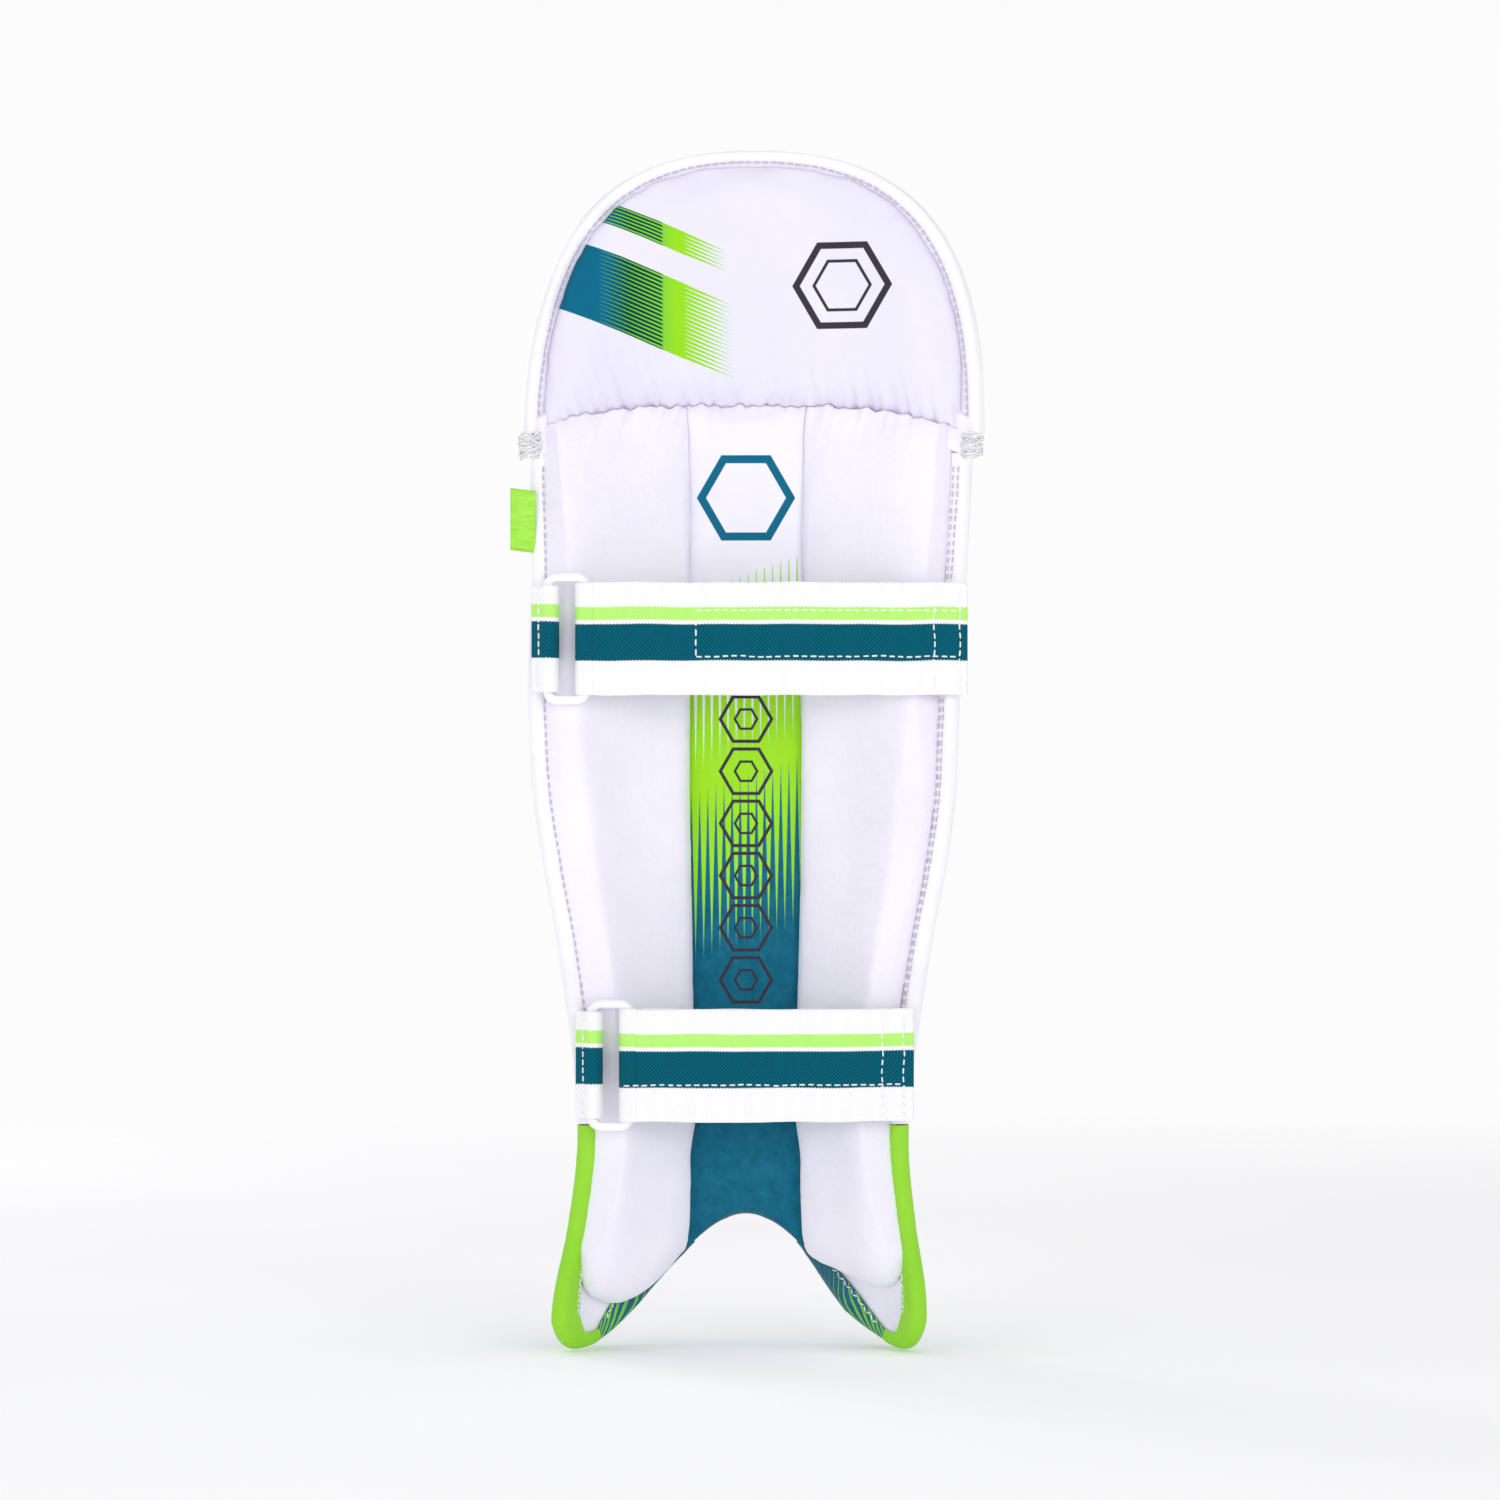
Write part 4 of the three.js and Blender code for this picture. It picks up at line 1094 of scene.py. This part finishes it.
def tape(name, pattern, out, front, width, lap, material, node, pucker=0.25, seed=1):
    """A tape folded round an edge. pattern holds points on the edge, out the way off the cloth,
    front the shell's front depth, and width and lap how far the tape stands off the edge and
    laps over the cloth on the leg side."""
    n = len(pattern)
    length = arc_length(pattern)
    out = unit(out)
    front, width, lap = (np.broadcast_to(np.asarray(a, float), (n,)) for a in (front, width, lap))
    back_depth, skin = -0.75, 0.9
    turn = np.linspace(-np.pi / 2, np.pi / 2, 11)
    middle, half = (front + back_depth) / 2, (front - back_depth) / 2 + 0.55
    wobble = pucker * ripple(length, seed, 7, 12, 23)

    def ring(grow):
        loop = []
        for reach in (-lap, -lap * 0.66, -lap * 0.33):
            loop.append((reach, middle - half - grow))
        for t in turn:
            loop.append(((width + grow) * np.cos(t) ** 0.75, middle + (half + grow) * np.sin(t)))
        for reach in (-1.2, -2.4):
            loop.append((reach + 0 * width, middle + half + grow))
        return loop

    loop = [(r, d - wobble * (0.8 if k < 4 else 0.25) * (1 if k < 6 else -1))
            for k, (r, d) in enumerate(ring(0))]
    inner = [(r, d) for r, d in ring(-skin)][::-1]
    rings, uvs = [], []
    distance = 0.0
    last = None
    for r, d in loop + inner:
        along = pattern[:, 0] + out[:, 0] * r
        height = pattern[:, 1] + out[:, 1] * r
        rings.append(wrap(along, height, d))
        here = np.array([np.mean(r), np.mean(d)])
        distance += 0.0 if last is None else float(np.linalg.norm(here - last))
        last = here
        uvs.append(np.stack([length, np.full(n, distance)], -1))
    rings = np.stack(rings, 1)
    uv = np.stack(uvs, 1)
    piece = tube(name, rings, material, uv)
    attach(piece, "shin")
    if node:
        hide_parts(node)
    return piece


def edge_run(pattern, out, inset, depth, side=-1):
    """A stitch run a distance in from an edge, on the leg side or the face."""
    out = unit(out)
    along, height = (pattern + out * -np.asarray(inset, float).reshape(-1, 1)).T
    return stitch_line(wrap, along, height, depth, 0, side)


def outline_run(sign, a, b, n):
    distance = np.linspace(a, b, n)
    here, u = outline(sign, WING_TOP, distance)
    before, _ = outline(sign, WING_TOP, distance - 0.012)
    after, _ = outline(sign, WING_TOP, distance + 0.012)
    run = after - before
    return here, np.stack([-sign * run[:, 1], sign * run[:, 0]], -1), u


def build_bindings():
    side_top = float(shin_top(1)) - 2
    for side, sign in (("left", -1), ("right", 1)):
        heights = np.linspace(WING_TOP + 0.5, side_top, 240)
        pattern = np.stack([sign * half_length(heights), heights], -1)
        out = np.broadcast_to([float(sign), 0.0], pattern.shape)
        lap = 3.4 + 0 * heights
        tape("side_tape_" + side, pattern, out, float(cover_outer(1)), TAPE_STAND, lap, WHITE_TAPE,
             "side_binding_" + side, seed=71 + sign)
        runs = [edge_run(pattern[4:-4], out[4:-4], -1.2, REAR_STITCH),
                edge_run(pattern[4:-4], out[4:-4], 1.6, float(cover_outer(1)) + FACE_STITCH, 1)]
        if sign > 0:
            runs.append(edge_run(pattern[4:-4], out[4:-4], 1.9, REAR_STITCH))
        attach(stitches("side_stitching_" + side, runs, 3.0, 1.3, 0.38, material=SEAM_THREAD), "shin")

        pattern, out, u = outline_run(sign, 0.0, 1.23, 200)
        height = pattern[:, 1]
        lap = np.where(np.linspace(0, 1.23, 200) < 1, lerp(3.2, 8.5, smooth(height, 75, 15)),
                       lerp(8.5, 3.5, smooth(np.linspace(0, 1.23, 200), 1.0, 1.2)))
        tape("wing_tape_" + side, pattern, out, cover_outer(u), TAPE_STAND, lap, LIME_TAPE,
             "wing_binding_" + side, seed=81 + sign)
        keep = slice(80, 158)
        zig = edge_run(pattern[keep], out[keep], lap[keep] - 1.7, REAR_STITCH)
        plain = edge_run(pattern[6:80], out[6:80], 2.3, REAR_STITCH)
        front = edge_run(pattern[6:170], out[6:170], 1.6, cover_outer(u[6:170]) + FACE_STITCH, 1)
        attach(stitches("wing_zigzag_" + side, [zig], 2.2, 0.5, 0.4, zigzag=0.8), "shin")
        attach(stitches("wing_stitching_" + side, [plain, front], 3.0, 1.3, 0.38), "shin")

        pattern, out, u = outline_run(sign, 1.225, 1.72, 90)
        t = np.linspace(0, 1, 90)
        lap = 3.0 + (9.0 if sign < 0 else 2.5) * np.sin(np.pi * np.clip(t * 1.15, 0, 1)) ** 0.8
        sag = (5.5 if sign > 0 else 0.0) * np.sin(np.pi * t) ** 1.5
        tape("instep_tape_" + side, pattern, out, cover_outer(u), 4.2 + sag, lap, INSTEP,
             "instep_facing_" + side, seed=91 + sign)
        zig = edge_run(pattern[12:62], out[12:62], lap[12:62] - 1.6, REAR_STITCH)
        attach(stitches("instep_zigzag_" + side, [zig], 2.2, 0.6, 0.4, zigzag=0.9), "shin")

    u = np.linspace(-0.285, 0.285, 90)
    height = shin_low(u)
    pattern = np.stack([u * half_length(height), height], -1)
    run = np.gradient(pattern, axis=0)
    out = np.stack([run[:, 1], -run[:, 0]], -1)
    tape("arch_edge", pattern, out, cover_outer(u), 3.4, 4.0 + 0 * u, ARCH_HEM, "arch_hem",
         seed=99, pucker=0.35)
    runs = [edge_run(pattern[3:-3], out[3:-3], 1.5, cover_outer(u[3:-3]) + FACE_STITCH, 1)]
    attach(stitches("arch_stitching", runs, 3.0, 1.3, 0.36), "shin")


def build_knots():
    """Each corner of the knee flap is tied down with a lump of close stitching."""
    for side in ("left", "right"):
        low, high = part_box("corner_bartack_" + side)
        centre = (np.array(low) + np.array(high)) * 500 + np.array([0, 0, 7.5])
        points, faces, uvs = [], [], []
        strands, steps, sides = 17, 20, 7
        for k in range(strands):
            tilt, swing = rng.uniform(-0.7, 0.7), rng.uniform(-0.5, 0.5)
            offset = lerp(-4.6, 4.6, k / (strands - 1))
            girth = 5.6 * math.sqrt(1 - (offset / 7.4) ** 2) * rng.uniform(0.86, 1.1)
            base = len(points)
            for j in range(steps):
                turn = 2 * math.pi * j / steps
                outward = np.array([math.cos(turn), math.sin(turn), 0.0])
                ring_point = girth * outward * np.array([1, 1.05, 0]) + np.array(
                    [0, 0, offset + girth * (tilt * math.cos(turn) + swing * math.sin(turn))
                     + 0.5 * math.sin(3 * turn + k)])
                for a in range(sides):
                    spin = 2 * math.pi * a / sides
                    points.append(centre + ring_point + 0.62 * (
                        math.cos(spin) * outward + math.sin(spin) * np.array([0, 0, 1.0])))
                    uvs.append((turn * girth, a * 0.4))
            for j in range(steps):
                for a in range(sides):
                    p, q = (j + 1) % steps, (a + 1) % sides
                    faces.append((base + j * sides + a, base + p * sides + a,
                                  base + p * sides + q, base + j * sides + q))
        knot = make("corner_knot_" + side, np.array(points), faces, THREAD, np.array(uvs), sharp=0)
        rings = []
        for t in np.linspace(0.06, 0.94, 12):
            girth = 4.9 * math.sin(math.pi * t) ** 0.6
            turn = circle(18)[:, None]
            rings.append(centre + np.concatenate([girth * np.cos(turn), girth * np.sin(turn),
                                                  0 * turn + lerp(-6.2, 6.2, t)], 1))
        core = tube("corner_knot_core_" + side, np.array(rings), THREAD,
                    np.zeros((12, 18, 2)))
        for piece in (knot, core):
            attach(piece, "shin")
        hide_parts("corner_bartack_" + side)


# --- Fold: gathered cloth that bridges shin and flap on the leg side and the face

def build_fold():
    us = np.linspace(-1.0, 1.0, 260)
    v = np.linspace(-1, 1, 25)
    U, V = np.meshgrid(us, v)
    middle = fold_line(U) + 0.6 * ripple(U * 110, 101, 37, 61)
    H = middle + V * (9.5 + 0 * U)
    along = U * (half_length(fold_line(U)) + 3.5)
    blend_up = smooth(V, -0.6, 0.6)
    wave = ripple(U * 115, 103, 5.5, 8.5, 13)
    rear = -2.2 + 0.8 * wave * (1 - 0.6 * np.abs(V))
    flap_side = lerp(FLAP_EDGE + 0.6, FLAP_FRONT + 0.6, smooth(np.abs(U), 0.98, 0.84))
    face = lerp(cover_outer(1) + 1.2 + 5.2 * smooth(np.abs(U), 0.98, 0.6), flap_side, blend_up)
    face = face - 3.0 * np.exp(-(V / 0.42) ** 2) + 0.4 * wave * np.exp(-(V / 0.6) ** 2)
    rear = rear - 3.4 * smooth(np.abs(U), 1.0, 0.9)

    def place(depth):
        low = wrap(along, H, depth)
        high = wrap_flap(along, H, depth)
        return low + (high - low) * blend_up[..., None]

    uv = np.stack([along, H], -1)
    piece = slab("fold_gather", place(face), place(rear), cloth("fold_white", uv=True), uv,
                 edge=0.2)
    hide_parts("fold_seam_tape")
    fold_with(piece)


# --- Knee flap

def flap_grid(inset, columns, rows, depth, low_gap=2.5):
    S, V = grid(columns, rows)
    u = 0.995 * np.sin((S - 0.5) * np.pi)
    low = fold_line(u) + low_gap
    H = lerp(low, np.maximum(dome_top(u, inset), low + 1), V)
    along = u * (FLAP_HALF_WIDTH - inset)
    return wrap_flap(along, H, depth(u, H, S, V)), np.stack([along, H], -1)


def flap_edge(inset, steps):
    """Pattern points along the dome, from corner to corner."""
    turn = np.linspace(0, np.pi, steps)
    u = squared(np.cos(turn), 2 / FLAP_POWER)
    rise = np.sin(turn) ** (2 / FLAP_POWER)
    base = fold_line(u) + 1.0
    return np.stack([u * (FLAP_HALF_WIDTH - inset), base + (HEIGHT - inset - base) * rise], -1)


def build_flap():
    us = np.linspace(-0.995, 0.995, 200)

    outer, uv = flap_grid(5.0, 81, 50, lambda u, H, S, V: 1.5 + 0 * u)
    inner, _ = flap_grid(5.0, 81, 50, lambda u, H, S, V: 0.0 * u)
    lining = slab("flap_lining_cloth", outer, inner, LINING_CLOTH, uv)
    fold_with(lining)
    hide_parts("flap_lining")

    # The face is padded in three rolls that follow the dome, sewn down between them.
    def body(u, H, S, V):
        inboard = (1 - dome_share(u, H)) * 110
        return lerp(FLAP_EDGE, FLAP_FRONT - 0.4, smooth(inboard, 2, 20))

    def puff(u, H, S, V):
        edge = np.minimum(1, np.minimum(V * 8, (1 - V) * 8))
        level = (H - fold_line(u)) / (HEIGHT - FOLD_CROWN)
        channels = np.abs(np.sin(np.pi * np.clip(level * 3.0, 0, 3))) ** 0.5
        side = smooth((1 - dome_share(u, H)) * 110, 3, 18)
        return body(u, H, S, V) + 4.0 * channels * side * edge + 0.3 * ripple(u * 100 + H, 111, 40, 70)

    outer, uv = flap_grid(7.4, 41, 30, lambda u, H, S, V: body(u, H, S, V) - COVER - 0.5, 7)
    inner, _ = flap_grid(7.4, 41, 30, lambda u, H, S, V: 1.9 + 0 * u, 7)
    foam = slab("flap_foam_pad", outer, inner, FOAM, uv)
    fold_with(foam)
    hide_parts("flap_foam")

    outer, uv = flap_grid(5.0, 121, 90, puff)
    inner, _ = flap_grid(5.0, 121, 90, lambda u, H, S, V: puff(u, H, S, V) - COVER)
    cover = slab("flap_cover_pu", outer, inner, FLAP_PU, uv)
    fold_with(cover)
    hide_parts("flap_cover")

    # Binding: a full tape rolled over the edge, with a stitch line just inside it on both sides.
    steps = 420
    middle = (FLAP_EDGE - 0.4) / 2
    half = (FLAP_EDGE + 2.3) / 2
    section = circle(22)
    rings, uvs = [], []
    length = arc_length(flap_edge(0, steps))
    wobble = 0.22 * ripple(length, 121, 6, 10, 19)
    for t in section:
        reach = FLAP_BINDING * (0.5 - 0.5 * squared(np.cos(t), 0.8))
        depth = middle + half * squared(np.sin(t), 0.7)
        pattern = flap_edge(reach, steps)
        bulge = wobble * (1 if np.sin(t) > 0 else -1) * abs(np.sin(t))
        rings.append(wrap_flap(pattern[:, 0], pattern[:, 1], depth + bulge))
        uvs.append(np.stack([length, np.full(steps, t * 4.0)], -1))
    binding = tube("flap_rolled_binding", np.stack(rings, 1), WHITE_TAPE, np.stack(uvs, 1))
    fold_with(binding)
    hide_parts("flap_binding")

    runs = []
    for inset, depth, side in ((6.2, -1.3, -1), (6.2, FLAP_EDGE + 0.9, 1)):
        runs.append(stitch_line(wrap_flap, *flap_edge(inset, 500)[6:-6].T, depth, 0, side))
    fold_with(stitches("flap_binding_stitching", runs, 3.0, 1.3, 0.4, material=SEAM_THREAD))
    runs = []
    for level in (1 / 3, 2 / 3):
        us = np.linspace(-0.93, 0.93, 240)
        heights = fold_line(us) + level * (HEIGHT - FOLD_CROWN)
        inside = heights < dome_top(us, 12)
        us, heights = us[inside], heights[inside]
        runs.append(stitch_line(wrap_flap, us * (FLAP_HALF_WIDTH - 5), heights, FLAP_FRONT, -0.2))
    fold_with(stitches("flap_face_stitching", runs, 3.4, 1.5, 0.4))


# --- Straps

def band(name, plan, low, high, seed, slack=0.25):
    """Webbing standing on edge along a path in plan, with rounded selvedges that wander slightly."""
    plan = np.asarray(plan, float)
    length = arc_length(plan)
    side = sides_of(unit(np.gradient(plan, axis=0)))
    across = np.concatenate([[0, 0.35, 1.0], np.linspace(2.5, high - low - 2.5, 26),
                             [high - low - 1.0, high - low - 0.35, high - low]])
    thin = np.interp(across, [0, 0.35, 1.0, high - low - 1.0, high - low - 0.35, high - low],
                     [0.25, 0.62, 1.0, 1.0, 0.62, 0.25])
    lift = slack * np.outer(np.sin(np.pi * across / (high - low)), ripple(length, seed, 31, 53))
    top_drift = 0.35 * ripple(length, seed + 1, 45, 80)
    low_drift = 0.35 * ripple(length, seed + 2, 45, 80)
    share = across / (high - low)
    z = low + across[:, None] + share[:, None] * top_drift + (1 - share[:, None]) * low_drift
    sheets = []
    for sign in (1, -1):
        offset = sign * WEBBING / 2 * thin[:, None] + lift
        sheets.append(np.stack([plan[:, 0] + side[:, 0] * offset, plan[:, 1] + side[:, 1] * offset, z], -1))
    uv = np.stack([np.broadcast_to(length, z.shape), np.broadcast_to(across[:, None], z.shape)], -1)
    return slab(name, sheets[0], sheets[1], WEB, uv, edge=0.25, sharp=70)


def circle_part(centre, radius, a, b, steps):
    turn = np.radians(np.linspace(a, b, steps))
    return np.stack([centre[0] + radius * np.cos(turn), centre[1] + radius * np.sin(turn)], -1)


def rear_of_edge(height):
    reach = float(half_length(height))
    return float(wrap(reach + EDGE_TAPE, height, -1)[1])


def build_ring(name, centre, slant, z, body):
    """A moulded ring: a rounded section carried round a rounded oblong."""
    w, h = RING_WIDTH - RING_BAR, RING_HEIGHT - 4.7
    corner = 5.2
    path = []
    for cx, cz, start in ((w - corner, h / 2 - corner, 90), (w - corner, -h / 2 + corner, 0),
                          (corner, -h / 2 + corner, -90), (corner, h / 2 - corner, -180)):
        for a in np.linspace(start, start - 90, 9):
            path.append((cx + corner * math.cos(math.radians(a)), cz + corner * math.sin(math.radians(a))))
    path = np.array(path)
    dense = []
    for k in range(len(path)):
        a, b = path[k], path[(k + 1) % len(path)]
        steps = max(1, int(np.linalg.norm(b - a) / 3))
        dense += [lerp(a, b, j / steps) for j in range(steps)]
    path = np.array(dense)
    run = np.roll(path, -1, 0) - np.roll(path, 1, 0)
    run = unit(run)
    out = sides_of(run)
    section = circle(20)
    half_bar = lerp(RING_BAR / 2, 2.3, np.abs(run[:, 0]) ** 2)
    rings = []
    for t in section:
        r = half_bar * squared(np.cos(t), 0.72)
        d = RING_DEEP / 2 * squared(np.sin(t), 0.72)
        x = path[:, 0] + out[:, 0] * r
        zz = path[:, 1] + out[:, 1] * r
        rings.append(np.stack([centre[0] + x * math.cos(slant) - d * math.sin(slant),
                               centre[1] + x * math.sin(slant) + d * math.cos(slant), z + zz], -1))
    piece = tube(name + "_ring_moulding", np.stack(rings, 1), PLASTIC, closed=True)
    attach(piece, body)
    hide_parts(name + "_ring")


def build_strap(strap, seed):
    name, bar, sewn, tail = strap["name"], strap["bar"], strap["sewn"], strap["tail"]
    z = strap["height"] - ORIGIN_HEIGHT
    low, high = z - STRAP_WIDTH / 2, z + STRAP_WIDTH / 2
    base = min(rear_of_edge(strap["height"] + d) for d in (-STRAP_WIDTH / 2, 0, STRAP_WIDTH / 2)) - 0.4
    wall = RING_BAR / 2 + 1.2 + WEBBING / 2
    bar_x = bar + RING_WIDTH - RING_BAR

    def sewn_y(x):
        return base - WEBBING / 2 - STRAP_BULGE * (1 - (x / sewn) ** 2)

    left = np.array([bar, base - WEBBING - wall + 1.5])
    right = np.array([bar_x, sewn_y(bar_x) - wall])
    slant = math.atan2(right[1] - left[1], right[0] - left[0])
    loop, free = name + "_loop", name + "_tail"

    xs = np.linspace(bar_x + 5, sewn, 110)
    under = band(name + "_webbing_base", np.stack([xs, sewn_y(xs)], -1), low, high, seed=seed)
    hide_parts(name + "_strap_base")
    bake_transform(under)

    plan = np.concatenate([[[strap["tab"], base - WEBBING / 2]], circle_part(left, wall, 100, -100, 22),
                           [[strap["tab"], base - WEBBING * 1.5 - 0.4]]])
    plan = resample(plan, np.linspace(0, arc_length(plan)[-1], 46))
    anchor = band(name + "_anchor_webbing", plan, low + 1.5, high - 1.5, seed=seed + 3, slack=0.1)
    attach(anchor, "shin")
    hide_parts(name + "_anchor_tab")

    build_ring(name, left, slant, z, loop)

    plan = np.concatenate([[[bar_x + 3.4, right[1] + wall]], circle_part(right, wall, 90, 270, 20),
                           [[bar_x + 3.4, right[1] - wall]]])
    plan = resample(plan, np.linspace(0, arc_length(plan)[-1], 30))
    turn = band(name + "_webbing_turn", plan, low, high, seed=seed + 6, slack=0.0)
    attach(turn, loop)
    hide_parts(name + "_strap_turn")

    stack = WEBBING + 1.6 + 1.2
    xs = np.linspace(bar_x + 3.2, tail, 170)
    ys = sewn_y(xs) - lerp(2 * wall, stack, smooth(xs, bar_x, bar_x + 45))
    over = band(name + "_webbing_tail", np.stack([xs, ys], -1), low, high, seed=seed + 9)
    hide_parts(name + "_strap_tail")
    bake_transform(over)

    rear = np.array([0.0, -1.0, 0.0])
    tail_y = lambda x: sewn_y(x) - lerp(2 * wall, stack, smooth(x, bar_x, bar_x + 45)) - WEBBING / 2
    runs = []
    for x in strap["rows"]:
        zs = np.linspace(low + 2, high - 2, 40)
        runs.append((np.stack([x + 0.3 * ripple(zs, seed + 12, 20), 0 * zs + tail_y(x), zs], -1), rear))
    x0, x1, z0, z1 = strap["patch"]
    row = np.linspace(x0, x1, 120)
    runs.append((np.stack([row, tail_y(row), z0 + 0.25 * ripple(row, seed + 13, 30)], -1), rear))
    if name == "calf":
        runs.append((np.stack([row, tail_y(row), z1 + 0 * row], -1), rear))
        zs = np.linspace(z0, z1 - 3, 20)
        runs.append((np.stack([x0 + 0 * zs, 0 * zs + tail_y(x0), zs], -1), rear))
    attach(stitches(name + "_tail_stitching", runs, 3.2, 1.3, 0.42), free)
    zs = np.linspace(low + 3.5, high - 3.5, 40)
    tab_x = strap["tab"] + 3.2
    end = left + wall * np.array([math.cos(math.radians(100)), -math.sin(math.radians(100))])
    share = (tab_x - strap["tab"]) / (end[0] - strap["tab"])
    slope = (end[1] - base + WEBBING * 1.5 + 0.4) / (end[0] - strap["tab"])
    face_y = lerp(base - WEBBING * 1.5 - 0.4, end[1], share) - WEBBING / 2 * math.hypot(1, slope) - 0.1
    drift = np.stack([tab_x + 0 * zs, 0 * zs + face_y, zs], -1)
    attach(stitches(name + "_anchor_stitching", [(drift, rear)], 3.2, 1.0, 0.42), "shin")


def dress_nodes():
    """The hook-and-loop patches keep their own solids, with a fabric of their own."""
    for name, material in (("calf_loop_patch", LOOPS), ("ankle_loop_patch", LOOPS),
                           ("calf_hook_patch", HOOKS), ("ankle_hook_patch", HOOKS)):
        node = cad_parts[name]
        node.data.materials.clear()
        node.data.materials.append(material)


# --- Ribbon tab and care label

def build_trim():
    low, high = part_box("side_tab")
    low, high = np.array(low) * 1000, np.array(high) * 1000
    root, tip, y = high[0] + 3.5, low[0] + 2.6, (low[1] + high[1]) / 2
    nose = 1.25
    plan = np.concatenate([np.stack([np.linspace(root, tip + nose + 1.0, 12), np.full(12, y + 0.75)], -1),
                           circle_part((tip + nose + 0.3, y), nose, 90, 270, 12),
                           np.stack([np.linspace(tip + nose + 1.0, root, 12), np.full(12, y - 0.75)], -1)])
    plan = resample(plan, np.linspace(0, arc_length(plan)[-1], 60))
    length = arc_length(plan)
    side = sides_of(unit(np.gradient(plan, axis=0)))
    z = np.linspace(low[2] + 0.4, high[2] - 2.0, 20)
    Z = z[:, None] + 1.6 * ((root - plan[:, 0]) / (root - tip))[None, :]
    sheets = []
    for sign in (1, -1):
        offset = sign * 0.28
        sheets.append(np.stack([np.broadcast_to(plan[:, 0] + side[:, 0] * offset, Z.shape),
                                np.broadcast_to(plan[:, 1] + side[:, 1] * offset, Z.shape), Z], -1))
    uv = np.stack([np.broadcast_to(length, Z.shape), np.broadcast_to((z - z[0])[:, None], Z.shape)], -1)
    tab = slab("side_ribbon", sheets[0], sheets[1], RIBBON, uv, edge=0.2)
    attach(tab, "shin")
    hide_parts("side_tab")

    S, V = grid(26, 30)
    H = lerp(350, 382, V)
    along = -(half_length(H) - lerp(3, 26, S))
    depth = -26 + 10 * (1 - S) + 0.8 * np.sin(S * 5 + V * 2) * (1 - V)
    uv = np.stack([S * 23, V * 32], -1)
    label = slab("care_label_satin", wrap(along, H, depth), wrap(along, H, depth + 0.6), SATIN,
                 uv, edge=0.2)
    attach(label, "shin")
    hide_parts("care_label")


# --- Floor, lights and camera

FLOOR_GAP, FLOOR_RADII = 0.0006, (0.5, 1.0, 1.5, 2.0)
CAMERA_PLACE, CAMERA_LENS, CAMERA_SENSOR = (0.00207, -2.911, 0.0515), 135, 36


def build_stage():
    """A round sheet of white paper whose rim fades into the studio's light."""
    low = cad_box[0].z - FLOOR_GAP
    points = [(0, 0, low)]
    for r in FLOOR_RADII:
        points += [(r * math.cos(a), r * math.sin(a), low) for a in np.linspace(0, 2 * math.pi, 49)[:-1]]
    faces = [(0, 1 + i, 1 + (i + 1) % 48) for i in range(48)]
    for ring in range(3):
        for i in range(48):
            a, b = 1 + 48 * ring + i, 1 + 48 * ring + (i + 1) % 48
            faces.append((a, a + 48, b + 48, b))
    mesh = bpy.data.meshes.new("floor")
    mesh.from_pydata(points, [], faces)
    floor = bpy.data.objects.new("floor", mesh)
    bpy.context.scene.collection.objects.link(floor)
    g = Graph("paper", roughness=0.9, specular=0.1)
    tone = g.noise(g.place, 400, 2.0)
    x, y, _ = g.split(g.place)
    radius = g.math("SQRT", g.add(g.mul(x, x), g.mul(y, y)))
    g.put(g.bsdf, "Alpha", g.ramp(radius, 700, 1900, 1.0, 0.0))
    g.put(g.bsdf, "Emission Color", (1, 1, 1, 1))
    g.put(g.bsdf, "Emission Strength", 0.13)
    mesh.materials.append(g.done(g.tint(tone, linear(252, 252, 253), linear(248, 248, 250))))


def area_light(name, place, aim, size, power):
    data = bpy.data.lights.new(name, "AREA")
    data.shape, data.size, data.energy = "DISK", size, power
    lamp = bpy.data.objects.new(name, data)
    lamp.location = place
    lamp.rotation_euler = (Vector(aim) - Vector(place)).to_track_quat("-Z", "Y").to_euler()
    bpy.context.scene.collection.objects.link(lamp)


def build_light():
    world = bpy.data.worlds.new("studio")
    world.use_nodes = True
    tree = world.node_tree
    place = tree.nodes.new("ShaderNodeTexCoord")
    split = tree.nodes.new("ShaderNodeSeparateXYZ")
    level = tree.nodes.new("ShaderNodeMapRange")
    level.clamp = True
    for key, value in enumerate((0, 0.12, 0.5, 0.985, 0.5)):
        level.inputs[key].default_value = value
    tree.links.new(place.outputs["Generated"], split.inputs[0])
    tree.links.new(split.outputs[2], level.inputs[0])
    back = tree.nodes["Background"]
    back.inputs[0].default_value = (0.99, 0.99, 1.0, 1)
    tree.links.new(level.outputs[0], back.inputs[1])
    bpy.context.scene.world = world
    bpy.context.scene.view_settings.view_transform = "Standard"
    aim = (0, 0, 0.05)
    area_light("key", (1.0, -2.5, 0.6), (0, 0, -0.08), 1.6, 15.5)
    area_light("fill", (-1.4, -2.4, 0.0), (0, 0, -0.15), 1.9, 12.5)
    area_light("top", (0, -0.2, 2.4), aim, 2.0, 11)
    area_light("rear", (-1.6, 2.0, 0.9), aim, 1.3, 14)


def build_camera():
    data = bpy.data.cameras.new("camera")
    data.lens, data.sensor_width = CAMERA_LENS, CAMERA_SENSOR
    camera = bpy.data.objects.new("camera", data)
    camera.location = CAMERA_PLACE
    camera.rotation_euler = (math.pi / 2, 0, 0)
    bpy.context.scene.collection.objects.link(camera)
    bpy.context.scene.camera = camera


build_camera()
side_bolster("left", -1)
side_bolster("right", 1)
centre_bolster()
flap_cushion()
build_lining()
build_foam()
build_canes()
build_cover()
build_bindings()
build_knots()
build_fold()
build_flap()
for number, strap in enumerate(STRAPS):
    build_strap(strap, 131 + 20 * number)
dress_nodes()
build_trim()
build_stage()
build_light()
